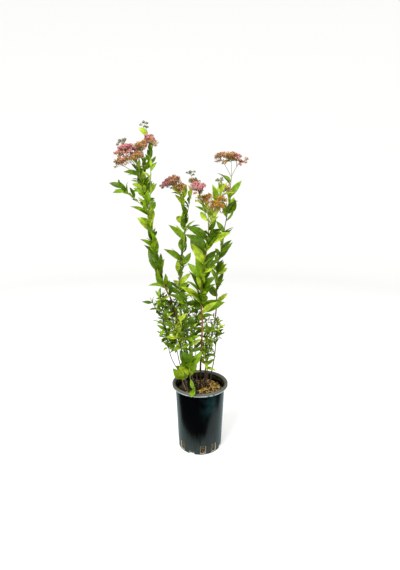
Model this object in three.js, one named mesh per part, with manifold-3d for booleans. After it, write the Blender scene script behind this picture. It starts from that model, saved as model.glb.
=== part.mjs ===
// A flowering spirea in its nursery pot, in millimetres, +Z up.
// The origin is the centre of the pot's flat underside; -Y is the plant's front.
import * as THREE from 'three';
import { mergeVertices } from 'three/addons/utils/BufferGeometryUtils.js';
import Module from 'manifold-3d';

const wasm = await Module();
wasm.setup();

// ---------------------------------------------------------------- driving dimensions
const GAP = 0.3;               // clearance between pieces that touch
const SIDES = 40;              // facets round the pot

const RIM_RADIUS = 75;         // outside of the rolled rim: a 150 mm pot
const POT_HEIGHT = 182.6;
const FOOT_RADIUS = 58.6;      // outside of the wall at the underside
const NECK_RADIUS = 66.5;      // outside of the wall just under the rim
const MOUTH_RADIUS = 67.5;     // inner edge of the rim
const RIM_DEPTH = 8;
const WALL = 2;
const FLOOR = 3;
const EDGE = 1.4;              // rounding of the rim's and the foot's edges

const SLOTS = 12;              // drainage slots: every third one is low
const SLOT_START = -52;        // degrees from the front to the first slot
const SLOT_WIDTH = 14;
const TALL_SLOT = [4, 25];     // lower and upper edge of a tall slot
const LOW_SLOT = [-1, 8];      // a low slot is a notch in the foot
const LABEL_HOLE = { turn: 67, width: 3.2, low: 165, high: 170.5 };

const SOIL_TOP = 162;
const SOIL_SHOULDER = 3;       // how far the mix drops off at the wall

const FLARE = 0.7;             // how much wider a stem is where it leaves the soil
const FLARE_REACH = 9;
const RING = 28;               // length of the straight pieces of a stem
const BEAD = 3;                // spacing of the beads that keep masses apart
const BEAD_WIDE = 0.4;         // a leaf bead's radius to the leaf's width there
const BEAD_LEAST = 0.5;

const TURN = 137.5;            // from each leaf to the next, round the stem
const LIGHT = [0.15, -0.8, 0.55];   // leaves turn their faces this way
const WIDE_AT = 0.42;          // where a leaf is widest, from its root
const LEAF_RATIO = 0.36;       // a leaf's width to its length, unless wide says so
const SPREAD = 42;             // degrees from stem to leaf, unless spread says so
const LEAF_THICK = 0.03;       // a leaf's thickness to its length
const FOLD = 0.12;             // how far a leaf's edges rise, to its width
const ARCH = 13;               // degrees that a leaf bends at its widest, each side
const LEAF_END = 6;            // no leaf grows nearer than this to a shoot's tip
const LEAF_SUNK = 0.3;         // how deep its root goes, to the stem's radius
const FACE = { up: 0.45, light: 0.8 };   // what a leaf's face follows, and how much
// How far the dice may change each of these, either way: degrees for the first two,
// shares of the whole for the rest.
const SWING = { turn: 40, spread: 18, long: 0.18, gap: 0.35, light: 0.4, right: 0.7, back: 0.5 };

// A side twig leans out by opens degrees and up to more besides, and by rise of that
// at its tip. They leave their stem from one share of its length over the next, and
// their length is its length times long, less for those higher up.
const TWIG = { opens: 42, more: 14, rise: 0.4, from: 0.12, over: 0.55, long: 0.62, less: 0.4 };
const TWIG_TIP = 1.3;          // a side twig's diameter at its tip

const RAY = 0.9;               // radius of a flower ray at its foot
const RAY_DROP = 0.7;          // how far down the stem the outer rays start
const DOME = 0.3;              // how far a head's edge hangs below its middle
const CLUSTER_SIZE = 0.56;     // a cluster's radius to the head's share of it
const CLUSTER_DEPTH = 0.7;     // a cluster's depth to its width
const GOLDEN = 137.508;        // spiral of the rays in a flower head
const HEAD_TURN = 7;           // degrees a head is turned for each mm of its stem

const START = 1e-6;            // shares below this are a shoot's very start
const FOOT_RINGS = 1.6;        // crowds a cane's rings towards the soil
const LIMB_SIDES = 6;
const STEM_SIDES = 5;          // of a leafy stem thicker than STOUT, else TWIG_SIDES
const TWIG_SIDES = 3;
const STOUT = 3;

const POT_COLOUR = 0x1c2426;
const SOIL_COLOUR = 0x3a2a1c;
const STEM_COLOUR = 0x6b3a2c;
const LEAF_COLOUR = 0x5c8f24;
const ROUGHNESS = { pot: 0.3, soil: 0.95, plant: 0.6 };

// ---------------------------------------------------------------- the shoots
// Each shoot starts on the soil at foot, or on another shoot, from, at a share of
// its length (1, the tip, unless at says otherwise). right and back are how far it
// leans to +X and +Y, in degrees, at even stations from its start to its tip.
// thick is its diameter at both ends. A shoot with a mass is fused into that mass.
// leaves: first leaf's distance, the gap between leaves, lengths at even stations,
// and where they differ from the rest, their width's ratio and their spread.
// head: width of the flower head, height of its rays and number of clusters.
const SHOOTS = {
  cane_left: {
    foot: [-27, 8], right: [-4, -14, -12], back: [0, -2, -4],
    length: 259, thick: [5.4, 4.2],
  },
  left_leaves: {
    from: 'cane_left', right: [-28, -12, -7, -4], back: [-5, -5, -4, -4],
    length: 248, thick: [4, 3],
    leaves: { seed: 479, first: 19, gap: 9.5, long: [44, 46, 48, 46], wide: 0.42, spread: 30 },
  },
  left_side: {
    from: 'left_leaves', at: 0.93, right: [-45, -50, -38], back: [-24, -26, -26],
    length: 87, thick: [2.2, 1.6],
    leaves: { seed: 3466, first: 13, gap: 13.1, long: [28, 32, 28] },
  },
  left_flowers: {
    from: 'left_leaves', right: [-17, -13, -5], back: [-9, -7, -5],
    length: 103, thick: [2.8, 2],
    leaves: { seed: 1003, first: 14, gap: 9.7, long: [36, 34, 28] },
    head: { wide: 38, rise: 9, count: 3 },
  },
  left_head_outer: {
    from: 'left_flowers', mass: 'left_flowers', at: 0.75,
    right: [-30, -44], back: [-20, -19], length: 44, thick: [2, 1.6],
    head: { wide: 50, rise: 15, count: 4 },
  },
  left_head_low: {
    from: 'left_flowers', mass: 'left_flowers', at: 0.62,
    right: [-57, -59], back: [-40, -39], length: 48, thick: [1.8, 1.5],
    head: { wide: 32, rise: 11, count: 2 },
  },
  left_head_mid: {
    from: 'left_flowers', mass: 'left_flowers', at: 0.8,
    right: [15, -11], back: [6, 6], length: 39, thick: [1.6, 1.4],
    head: { wide: 32, rise: 9, count: 2 },
  },
  left_head_gold: {
    from: 'left_flowers', mass: 'left_flowers', at: 0.7,
    right: [-50, -28], back: [-31, -30], length: 29, thick: [1.6, 1.4],
    head: { wide: 22, rise: 9, count: 1 },
  },
  left_head_link: {
    from: 'left_flowers', mass: 'left_flowers', at: 0.85,
    right: [13, 20], back: [-8, -8], length: 42, thick: [1.5, 1.3],
    head: { wide: 20, rise: 7, count: 1 },
  },
  left_bud_head: {
    from: 'left_head_outer', mass: 'left_flowers', at: 0.6,
    right: [-26, -32], back: [-7, -7], length: 41, thick: [1.5, 1.3],
    head: { wide: 20, rise: 6, count: 1 },
  },
  left_column: {
    from: 'left_leaves', at: 0.97, right: [-14, -7, 10], back: [16, 10, 6],
    length: 124, thick: [2.4, 1.8],
    leaves: { seed: 280, first: 13, gap: 8.7, long: [38, 36, 30] },
  },
  left_tall: {
    from: 'left_leaves', at: 0.95, right: [7, 3, 3, -9], back: [-9, -3, 5, 8],
    length: 151, thick: [2.6, 1.8],
    leaves: { seed: 2469, first: 12, gap: 15.9, long: [34, 32, 28] },
    head: { wide: 40, rise: 11, count: 3 },
  },
  left_tall_low: {
    from: 'left_tall', mass: 'left_tall', at: 0.86,
    right: [14, 30], back: [-30, -30], length: 18, thick: [1.5, 1.3],
    head: { wide: 18, rise: 6, count: 1 },
  },
  left_tall_bud: {
    from: 'left_tall', mass: 'left_tall', at: 0.9,
    right: [-4, -22], back: [8, 7], length: 52, thick: [1.5, 1.3],
    leaves: { seed: 593, first: 27, gap: 25.6, long: [26, 24] },
    head: { wide: 17, rise: 6, count: 1 },
  },

  cane_middle: {
    foot: [-20, 32], right: [-10, -9, -6], back: [2, 2, 2],
    length: 232, thick: [4.8, 3.8],
  },
  middle_leaves: {
    from: 'cane_middle', right: [-7, 8, 7, 2], back: [3, 4, 4, 3],
    length: 241, thick: [3.6, 2.8],
    leaves: { seed: 7557, first: 17, gap: 15.1, long: [50, 48, 46, 36] },
  },
  middle_stack: {
    from: 'middle_leaves', mass: 'middle_leaves', at: 0.86,
    right: [1, 4], back: [-19, -18], length: 33, thick: [2, 1.5],
    leaves: { seed: 374, first: 1, gap: 5.5, long: [40, 34], wide: 0.42, spread: 14 },
  },
  middle_left_flowers: {
    from: 'middle_leaves', right: [-14, -18], back: [-5, -5],
    length: 60, thick: [2.4, 1.8],
    leaves: { seed: 77, first: 19, gap: 12.9, long: [38, 30] },
    head: { wide: 42, rise: 11, count: 3 },
  },
  middle_head_outer: {
    from: 'middle_left_flowers', mass: 'middle_left_flowers', at: 0.5,
    right: [-20, -40], back: [-8, -8], length: 50, thick: [1.8, 1.5],
    head: { wide: 58, rise: 12, count: 5 },
  },
  middle_right_flowers: {
    from: 'middle_leaves', at: 0.97, right: [12, 11, 15], back: [9, 8, 7],
    length: 72, thick: [2.2, 1.6],
    leaves: { seed: 351, first: 21, gap: 12, long: [34, 28] },
    head: { wide: 36, rise: 16, count: 3 },
  },
  middle_bud_head: {
    from: 'middle_right_flowers', mass: 'middle_right_flowers', at: 0.75,
    right: [8, -5], back: [-4, -3], length: 52, thick: [1.5, 1.3],
    head: { wide: 17, rise: 6, count: 1 },
  },

  cane_front: {
    foot: [1, -5], right: [-1, 3, 1], back: [-2, -3, -4],
    length: 204, thick: [5.2, 4.2],
  },
  front_leaves: {
    from: 'cane_front', right: [-8, 4, 11, -4], back: [-2, -5, -7, -7],
    length: 258, thick: [4, 3],
    leaves: { seed: 443, first: 12, gap: 14, long: [46, 58, 60, 44] },
  },
  front_left_flowers: {
    from: 'front_leaves', at: 0.985, right: [-20, -19, -13], back: [-14, -12, -11],
    length: 69, thick: [2, 1.5],
    leaves: { seed: 12, first: 14, gap: 24, long: [28, 22] },
    head: { wide: 40, rise: 13, count: 3 },
  },
  front_mid_flowers: {
    from: 'front_leaves', right: [-7, -15], back: [7, 7],
    length: 36, thick: [2.2, 1.8],
    leaves: { seed: 13, first: 8, gap: 9, long: [30, 24] },
    head: { wide: 40, rise: 14, count: 3 },
  },
  front_right_flowers: {
    from: 'front_leaves', at: 0.96, right: [9, 38], back: [-19, -19],
    length: 39, thick: [2.2, 1.8],
    leaves: { seed: 2695, first: 17, gap: 10.7, long: [30, 26] },
    head: { wide: 44, rise: 9, count: 3 },
  },
  front_head_upper: {
    from: 'front_right_flowers', mass: 'front_right_flowers', at: 0.5,
    right: [45, 34], back: [16, 17], length: 38, thick: [1.5, 1.3],
    head: { wide: 30, rise: 6, count: 2 },
  },
  front_back_spray: {
    from: 'front_leaves', at: 0.93, right: [23, 23, -5], back: [20, 13, 7],
    length: 113, thick: [2.2, 1.6],
    leaves: { seed: 1030, first: 15, gap: 13, long: [38, 46, 34] },
  },
  front_bud_head: {
    from: 'front_back_spray', mass: 'front_back_spray', at: 0.8,
    right: [-22, -10], back: [-17, -17], length: 19, thick: [1.5, 1.3],
    head: { wide: 15, rise: 6, count: 1 },
  },
  front_back_head: {
    from: 'front_back_spray', mass: 'front_back_spray', at: 0.7,
    right: [61, 34], back: [48, 47], length: 19, thick: [1.5, 1.3],
    head: { wide: 26, rise: 8, count: 2 },
  },

  cane_right: {
    foot: [14, 40], right: [0, 13, 6], back: [-1, -2, -2],
    length: 214, thick: [4.4, 3.6],
  },
  right_leaves: {
    from: 'cane_right', right: [3, -3, 15, 3], back: [-1, -2, -2, -2],
    length: 222, thick: [3.4, 2.6],
    leaves: { seed: 1916, first: 17, gap: 17.3, long: [46, 46, 44, 44] },
  },
  right_flowers: {
    from: 'right_leaves', right: [12, 5, 5], back: [-3, -4, -4],
    length: 129, thick: [2.4, 1.8],
    leaves: { seed: 1437, first: 33, gap: 32.8, long: [54, 50, 42] },
  },
  right_head_left: {
    from: 'right_flowers', mass: 'right_flowers', at: 0.97,
    right: [-27, -37], back: [-14, -14], length: 52, thick: [1.5, 1.2],
    head: { wide: 28, rise: 9, count: 2 },
  },
  right_head_mid: {
    from: 'right_flowers', mass: 'right_flowers', at: 0.99,
    right: [1, -6], back: [5, 5], length: 41, thick: [1.5, 1.2],
    head: { wide: 44, rise: 9, count: 3 },
  },
  right_head_right: {
    from: 'right_flowers', mass: 'right_flowers', at: 0.98,
    right: [21, 39], back: [-7, -7], length: 40, thick: [1.5, 1.2],
    leaves: { seed: 223, first: 24, gap: 27.6, long: [24, 20] },
    head: { wide: 22, rise: 8, count: 1 },
  },

  cane_far: {
    foot: [29, 34], right: [4, 11, 4], back: [-2, -2, -3],
    length: 104, thick: [3, 2.4],
  },
  far_leaves: {
    from: 'cane_far', right: [5, 3], back: [-2, -2], length: 78, thick: [2.2, 1.6],
    leaves: { seed: 1996, first: 9, gap: 9.5, long: [26, 26], spread: 62 },
  },

  twig_low_left: {
    foot: [-46, 2], right: [2, -32, -9], back: [-2, -3, -4],
    length: 122, thick: [2.6, 2],
  },
  low_left_leaves: {
    from: 'twig_low_left', right: [-7, -7, -5], back: [-4, -3, -3],
    length: 159, thick: [2, 1.5], twigs: { seed: 21, count: 3 },
    leaves: { seed: 941, first: 6, gap: 8, long: [26, 31, 28], spread: 62 },
  },
  twig_low_side: {
    foot: [-38, 22], right: [-19, -14, -9], back: [1, 2, 2],
    length: 104, thick: [2.8, 2.2],
  },
  low_side_leaves: {
    from: 'twig_low_side', right: [-4, -7, -9], back: [2, 2, 2],
    length: 141, thick: [2, 1.5], twigs: { seed: 22, count: 3 },
    leaves: { seed: 3286, first: 6, gap: 8.8, long: [26, 31, 28], spread: 62 },
  },
  twig_low_front: {
    foot: [-32, -18], right: [-13, -6, -5], back: [-4, -5, -5],
    length: 123, thick: [2.6, 2],
  },
  low_front_leaves: {
    from: 'twig_low_front', right: [-10, -19, -11], back: [-6, -6, -5],
    length: 84, thick: [2, 1.5], twigs: { seed: 23, count: 2 },
    leaves: { seed: 452, first: 5, gap: 8.7, long: [32, 32, 28], spread: 62 },
  },
  twig_low_mid: {
    foot: [-13, -22], right: [-13, -6, -5], back: [-2, -2, -2],
    length: 96, thick: [2.8, 2.2],
  },
  low_mid_leaves: {
    from: 'twig_low_mid', right: [-3, -6, 5], back: [-3, -2, -1],
    length: 168, thick: [2, 1.5], twigs: { seed: 24, count: 3 },
    leaves: { seed: 2935, first: 8, gap: 10.7, long: [26, 31, 28], spread: 62 },
  },
  twig_low_inner: {
    foot: [-4, 14], right: [-13, -3, -2], back: [0, 0, 0],
    length: 96, thick: [2.6, 2],
  },
  low_inner_leaves: {
    from: 'twig_low_inner', right: [-7, 6, 8], back: [-1, -1, -2],
    length: 149, thick: [2, 1.5], twigs: { seed: 25, count: 3 },
    leaves: { seed: 1605, first: 7, gap: 10.7, long: [26, 31, 28], spread: 62 },
  },
  twig_low_back: {
    foot: [-28, 46], right: [-15, -15, -9], back: [4, 5, 5],
    length: 110, thick: [2.8, 2.2],
  },
  low_back_leaves: {
    from: 'twig_low_back', right: [-6, -8, -2], back: [7, 7, 6],
    length: 131, thick: [2, 1.5], twigs: { seed: 26, count: 3 },
    leaves: { seed: 1821, first: 6, gap: 9.9, long: [26, 31, 28], spread: 62 },
  },

  twig_right_front: {
    foot: [18, 20], right: [0, -2, -4], back: [-2, -2, -2],
    length: 52, thick: [2.4, 2],
  },
  right_front_leaves: {
    from: 'twig_right_front', right: [-3, 2, 9], back: [-5, -5, -5],
    length: 113, thick: [1.8, 1.4], twigs: { seed: 27, count: 1 },
    leaves: { seed: 2094, first: 10, gap: 9, long: [22, 24, 28], spread: 62 },
  },
  twig_right_back: {
    foot: [22, 54], right: [-1, -1, 0], back: [5, 5, 4],
    length: 48, thick: [2.4, 2],
  },
  right_back_leaves: {
    from: 'twig_right_back', right: [2, 10, 5], back: [6, 6, 7],
    length: 120, thick: [1.8, 1.4], twigs: { seed: 28, count: 1 },
    leaves: { seed: 3224, first: 15, gap: 10.3, long: [24, 28, 26], spread: 62 },
  },

  basal_left: {
    foot: [-38, -8], right: [-21, -14], back: [-4, -4], length: 58, thick: [2.2, 1.6],
    leaves: { seed: 630, first: 28, gap: 5.3, long: [40, 40], wide: 0.5, spread: 38 },
  },
  basal_front: {
    foot: [-16, -34], right: [-14, -8, 0], back: [-3, -3, -3],
    length: 98, thick: [2.4, 1.6],
    leaves: { seed: 2305, first: 16, gap: 4.8, long: [42, 40, 38], wide: 0.54, spread: 50 },
  },
  basal_rim: {
    foot: [-20, -46], right: [6, 10, 16], back: [-4, -30, -70],
    length: 44, thick: [2, 1.5],
    leaves: { seed: 1302, first: 29, gap: 28.5, long: [50, 50], wide: 0.46, spread: 45 },
  },
};

// ---------------------------------------------------------------- small helpers
const vector = (x, y, z) => new THREE.Vector3(x, y, z);
const radians = THREE.MathUtils.degToRad;
const degreesOf = THREE.MathUtils.radToDeg;

// The value at a share of the way through a list of even stations.
function along(stations, share) {
  const place = share * (stations.length - 1);
  const low = Math.min(Math.floor(place), stations.length - 2);
  return stations[low] + (stations[low + 1] - stations[low]) * (place - low);
}

// Seeded dice: the same numbers from 0 to 1 on every run.
function dice(seed) {
  let state = seed * 7919 + 1;
  return () => {
    state = (state * 48271) % 2147483647;
    return state / 2147483647;
  };
}

function solid(geometry) {
  const bare = geometry.clone();
  bare.deleteAttribute('normal');
  bare.deleteAttribute('uv');
  const merged = mergeVertices(bare, 1e-5);
  return new wasm.Manifold(new wasm.Mesh({
    numProp: 3,
    vertProperties: new Float32Array(merged.attributes.position.array),
    triVerts: new Uint32Array(merged.index.array),
  }));
}

// The outer skin of the largest piece: hollows that joining sealed are filled, and
// loose scraps are dropped.
function outerSkin(body) {
  const skins = body.decompose();
  return skins.reduce((best, skin) => (skin.volume() > best.volume() ? skin : best));
}

function geometryOf(body) {
  const mesh = body.getMesh();
  const geometry = new THREE.BufferGeometry();
  geometry.setAttribute('position', new THREE.BufferAttribute(mesh.vertProperties, 3));
  geometry.setIndex(new THREE.BufferAttribute(mesh.triVerts, 1));
  return geometry;
}

const group = new THREE.Group();

function add(name, body, colour, roughness) {
  const geometry = geometryOf(body);
  geometry.computeVertexNormals();
  const material = new THREE.MeshStandardMaterial({ color: colour, roughness, metalness: 0 });
  const mesh = new THREE.Mesh(geometry, material);
  mesh.name = name;
  group.add(mesh);
}

// ---------------------------------------------------------------- pot and soil
function lathe(profile) {
  const points = profile.map(([radius, z]) => new THREE.Vector2(radius, z));
  return solid(new THREE.LatheGeometry(points, SIDES).rotateX(Math.PI / 2));
}

// The inner wall's radius at a height, from the floor to the neck.
function innerRadius(z) {
  const neck = POT_HEIGHT - RIM_DEPTH;
  return FOOT_RADIUS + (NECK_RADIUS - FOOT_RADIUS) * z / neck - WALL;
}

// A box through the wall, turned round the pot; turn is in degrees from the front.
function wallCutter(turn, width, low, high) {
  const depth = 4 * WALL;
  const box = new THREE.BoxGeometry(width, depth, high - low);
  box.translate(0, -innerRadius(Math.max(low, 0)) - WALL / 2, (low + high) / 2);
  return solid(box.rotateZ(radians(turn)));
}

function makePot() {
  const neck = POT_HEIGHT - RIM_DEPTH;
  const top = POT_HEIGHT;
  let pot = lathe([
    [0, 0],
    [FOOT_RADIUS - EDGE, 0],
    [FOOT_RADIUS, EDGE],
    [NECK_RADIUS, neck],
    [RIM_RADIUS - EDGE, neck],
    [RIM_RADIUS, neck + EDGE],
    [RIM_RADIUS, top - 2 * EDGE],
    [RIM_RADIUS - EDGE, top - EDGE / 2],
    [RIM_RADIUS - 2 * EDGE, top],
    [MOUTH_RADIUS + 2 * EDGE, top],
    [MOUTH_RADIUS, top - EDGE],
    [innerRadius(neck - EDGE), neck - EDGE],
    [innerRadius(FLOOR), FLOOR],
    [0, FLOOR],
  ]);
  for (let slot = 0; slot < SLOTS; slot++) {
    const [low, high] = slot % 3 === 1 ? LOW_SLOT : TALL_SLOT;
    const turn = SLOT_START + slot * 360 / SLOTS;
    pot = pot.subtract(wallCutter(turn, SLOT_WIDTH, low, high));
  }
  const hole = LABEL_HOLE;
  return pot.subtract(wallCutter(hole.turn, hole.width, hole.low, hole.high));
}

function makeSoil() {
  const low = FLOOR + GAP;
  const edge = SOIL_TOP - SOIL_SHOULDER;
  return lathe([
    [0, low],
    [innerRadius(low) - GAP, low],
    [innerRadius(edge) - GAP, edge],
    [innerRadius(edge) - GAP - SOIL_SHOULDER, SOIL_TOP],
    [0, SOIL_TOP],
  ]);
}

// ---------------------------------------------------------------- stems
// A shoot's axis: straight pieces end to end, each in the direction that the leans
// give at its middle.
function axisOf(shoot, start) {
  const steps = Math.max(2, Math.round(shoot.length / RING));
  const heading = (share) => vector(
    Math.tan(radians(along(shoot.right, share))),
    Math.tan(radians(along(shoot.back, share))),
    1,
  ).normalize();
  const points = [start];
  for (let i = 0; i < steps; i++) {
    const step = heading((i + 0.5) / steps).multiplyScalar(shoot.length / steps);
    points.push(points[i].clone().add(step));
  }
  const point = (share) => {
    const low = Math.min(Math.floor(share * steps), steps - 1);
    return points[low].clone().lerp(points[low + 1], share * steps - low);
  };
  return { point, heading, steps };
}

// A limb is bare; every other shoot carries leaves or flowers.
function isLimb(shoot) {
  return !shoot.leaves && !shoot.head;
}

// The radius of a shoot at a share of its length, with its flare at the soil.
function radiusAt(shoot, share) {
  const radius = along(shoot.thick, share) / 2;
  const flare = shoot.foot ? FLARE * Math.exp(-share * shoot.length / FLARE_REACH) : 0;
  return radius * (1 + flare);
}

// Two directions square to a stem, the first as near to +X as can be.
function across(direction) {
  const right = vector(1, 0, 0).addScaledVector(direction, -direction.x).normalize();
  return [right, vector().crossVectors(direction, right)];
}

function sidesOf(shoot) {
  if (isLimb(shoot)) return LIMB_SIDES;
  return shoot.thick[0] > STOUT ? STEM_SIDES : TWIG_SIDES;
}

// A cylinder bent along the shoot's axis and drawn in to its taper. A stem that
// rises from the soil has its rings closer together there, for its flare.
function stemSolid(shoot) {
  const tube = new THREE.CylinderGeometry(1, 1, 1, sidesOf(shoot), shoot.axis.steps);
  const places = tube.attributes.position;
  for (let i = 0; i < places.count; i++) {
    const even = places.getY(i) + 0.5;
    const share = shoot.foot && isLimb(shoot) ? even ** FOOT_RINGS : even;
    const direction = share < START ? shoot.cut : shoot.axis.heading(share);
    const [right] = across(direction);
    const front = vector().crossVectors(right, direction);
    const radius = radiusAt(shoot, share);
    const place = shoot.axis.point(share)
      .addScaledVector(right, places.getX(i) * radius)
      .addScaledVector(front, places.getZ(i) * radius);
    places.setXYZ(i, place.x, place.y, place.z);
  }
  return solid(tube);
}

// The way a shoot's first ring faces: level on the soil, square to the parent's tip,
// or square to the shoot itself.
function cutOf(shoot, parent) {
  if (!parent) return vector(0, 0, 1);
  const onTip = shoot.at === undefined && !shoot.mass;
  return onTip ? parent.axis.heading(1) : shoot.axis.heading(0);
}

// Where a shoot starts: on the soil, on its parent's tip, or on its parent's side.
// One that belongs to another mass stays GAP clear; one in the same mass is fused.
function startOf(shoot, parent) {
  if (!parent) return vector(shoot.foot[0], shoot.foot[1], SOIL_TOP + GAP);
  const share = shoot.at ?? 1;
  const place = parent.axis.point(share);
  if (shoot.mass) return place;
  const heading = parent.axis.heading(share);
  if (share === 1) return place.addScaledVector(heading, GAP);
  const leave = vector(
    Math.tan(radians(shoot.right[0])),
    Math.tan(radians(shoot.back[0])),
    1,
  ).normalize();
  const outward = leave.clone().addScaledVector(heading, -leave.dot(heading));
  const slant = leave.dot(heading);
  const reach = radiusAt(parent, share) + GAP + slant * shoot.thick[0] / 2;
  return place.addScaledVector(outward.normalize(), reach);
}

// ---------------------------------------------------------------- leaves and flowers
// The leaves of one shoot, from its first to its last. Each is a root, a direction,
// the way its face looks, and its length.
function leavesOf(shoot) {
  const rule = shoot.leaves;
  const leaves = [];
  if (!rule) return leaves;
  const roll = dice(rule.seed);
  const swing = () => 2 * roll() - 1;
  let turn = 360 * roll();
  let place = rule.first;
  while (place < shoot.length - LEAF_END) {
    const share = place / shoot.length;
    const stem = shoot.axis.heading(share);
    const [right, back] = across(stem);
    const way = radians(turn + SWING.turn * swing());
    const spread = radians((rule.spread ?? SPREAD) + SWING.spread * swing());
    const outward = right.multiplyScalar(Math.cos(way)).addScaledVector(back, Math.sin(way));
    const direction = stem.clone().multiplyScalar(Math.cos(spread))
      .addScaledVector(outward, Math.sin(spread));
    const face = stem.clone().multiplyScalar(FACE.up)
      .add(vector(...LIGHT).multiplyScalar(FACE.light + SWING.light * swing()))
      .add(vector(SWING.right * swing(), SWING.back * swing(), 0));
    face.addScaledVector(direction, -face.dot(direction)).normalize();
    const root = shoot.axis.point(share)
      .addScaledVector(outward, -LEAF_SUNK * radiusAt(shoot, share));
    const long = along(rule.long, share) * (1 + SWING.long * swing());
    leaves.push({ root, direction, face, long, wide: long * (rule.wide ?? LEAF_RATIO) });
    place += rule.gap * (1 + SWING.gap * swing());
    turn += TURN;
  }
  return leaves;
}

// The middle and the tip of a leaf, which bends over its widest place.
function leafSpine(leaf) {
  const bend = radians(ARCH);
  const rise = leaf.direction.clone().multiplyScalar(Math.cos(bend))
    .addScaledVector(leaf.face, Math.sin(bend));
  const fall = leaf.direction.clone().multiplyScalar(Math.cos(bend))
    .addScaledVector(leaf.face, -Math.sin(bend));
  const middle = leaf.root.clone().addScaledVector(rise, WIDE_AT * leaf.long);
  const tip = middle.clone().addScaledVector(fall, (1 - WIDE_AT) * leaf.long);
  return [middle, tip];
}

// An octahedron drawn out into a blade: root and tip, two edges, top and underside.
function leafSolid(leaf) {
  const [middle, tip] = leafSpine(leaf);
  const side = vector().crossVectors(leaf.direction, leaf.face);
  const blade = new THREE.OctahedronGeometry(1);
  const places = blade.attributes.position;
  for (let i = 0; i < places.count; i++) {
    const [x, y, z] = [places.getX(i), places.getY(i), places.getZ(i)].map(Math.round);
    const place = (x < 0 ? leaf.root : x > 0 ? tip : middle).clone();
    place.addScaledVector(side, z * leaf.wide / 2);
    place.addScaledVector(leaf.face, Math.abs(z) * FOLD * leaf.wide);
    place.addScaledVector(leaf.face, y * leaf.long * LEAF_THICK / 2);
    places.setXYZ(i, place.x, place.y, place.z);
  }
  return solid(blade);
}

// The clusters of a flower head: a golden-angle disc, domed, above the shoot's tip.
function clustersOf(shoot) {
  const clusters = [];
  if (!shoot.head) return clusters;
  const { wide, rise, count } = shoot.head;
  const up = shoot.axis.heading(1).add(vector(0, 0, 1)).normalize();
  const [right, back] = across(up);
  const size = CLUSTER_SIZE * wide / Math.sqrt(count);
  const reach = wide / 2 - size;
  for (let i = 0; i < count; i++) {
    const out = Math.sqrt(i / Math.max(1, count - 1));
    const way = radians(i * GOLDEN + shoot.length * HEAD_TURN);
    const centre = shoot.axis.point(1)
      .addScaledVector(up, rise * (1 - DOME * out * out))
      .addScaledVector(right, Math.cos(way) * out * reach)
      .addScaledVector(back, Math.sin(way) * out * reach);
    const share = 1 - RAY_DROP * out * Math.min(1, rise / shoot.length);
    clusters.push({ centre, size, up, foot: shoot.axis.point(share) });
  }
  return clusters;
}

function clusterSolid(cluster) {
  const turn = new THREE.Quaternion().setFromUnitVectors(vector(0, 1, 0), cluster.up);
  const knob = new THREE.SphereGeometry(1, 5, 2);
  knob.scale(cluster.size, cluster.size * CLUSTER_DEPTH, cluster.size);
  knob.applyQuaternion(turn);
  knob.translate(...cluster.centre);
  const line = cluster.centre.clone().sub(cluster.foot);
  const ray = new THREE.ConeGeometry(RAY, line.length(), 3, 1);
  ray.translate(0, line.length() / 2, 0);
  ray.applyQuaternion(new THREE.Quaternion()
    .setFromUnitVectors(vector(0, 1, 0), line.clone().normalize()));
  ray.translate(...cluster.foot);
  return solid(knob).add(solid(ray));
}

// ---------------------------------------------------------------- growing the plant
// Side twigs of a mass, by its seed: each leaves the stem and turns upwards.
function twigsOf(name, shoot) {
  const twigs = {};
  if (!shoot.twigs) return twigs;
  const roll = dice(shoot.twigs.seed);
  const first = 360 * roll();
  for (let i = 0; i < shoot.twigs.count; i++) {
    const way = radians(first + i * TURN);
    const lean = (degrees, part) => degreesOf(Math.atan(Math.tan(radians(degrees)) * part));
    const opens = TWIG.opens + TWIG.more * roll();
    const share = TWIG.from + TWIG.over * (i + roll()) / shoot.twigs.count;
    twigs[`${name}_twig_${i + 1}`] = {
      from: name,
      mass: name,
      at: share,
      right: [lean(opens, Math.cos(way)), lean(opens * TWIG.rise, Math.cos(way))],
      back: [lean(opens, Math.sin(way)), lean(opens * TWIG.rise, Math.sin(way))],
      length: shoot.length * (TWIG.long - TWIG.less * share),
      thick: [shoot.thick[1], TWIG_TIP],
      leaves: { ...shoot.leaves, seed: shoot.leaves.seed * 10 + i },
    };
  }
  return twigs;
}

// Beads mark the room that a stem or leaf takes, for keeping the masses apart.
function stemBeads(shoot) {
  const count = Math.ceil(shoot.length / BEAD);
  return Array.from({ length: count + 1 }, (_, i) => ({
    centre: shoot.axis.point(i / count), radius: radiusAt(shoot, i / count),
  }));
}

function leafBeads(leaf) {
  const [middle, tip] = leafSpine(leaf);
  const count = Math.ceil(leaf.long / BEAD);
  return Array.from({ length: count }, (_, i) => {
    const share = (i + 1) / count;
    const early = share < WIDE_AT;
    const part = early ? share / WIDE_AT : (share - WIDE_AT) / (1 - WIDE_AT);
    const centre = (early ? leaf.root.clone().lerp(middle, part) : middle.clone().lerp(tip, part));
    const wide = early ? part : 1 - part;
    return { centre, radius: Math.max(BEAD_LEAST, wide * leaf.wide * BEAD_WIDE) };
  });
}

function touches(beads, mass, taken) {
  return taken.some((other) => other.mass !== mass && beads.some((bead) =>
    bead.centre.distanceTo(other.centre) < bead.radius + other.radius + 2 * GAP));
}

// Whether a bead is nearer than GAP to the pot or the soil.
function nearPot({ centre, radius }) {
  const room = radius + GAP;
  const out = Math.hypot(centre.x, centre.y);
  const overSoil = centre.z > SOIL_TOP + room && out < innerRadius(SOIL_TOP) - room;
  const overRim = centre.z > POT_HEIGHT + room;
  return !overSoil && !overRim && out < RIM_RADIUS + room;
}

const shoots = {};
for (const [name, plan] of Object.entries(SHOOTS)) {
  Object.assign(shoots, { [name]: { ...plan } }, twigsOf(name, plan));
}

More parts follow.
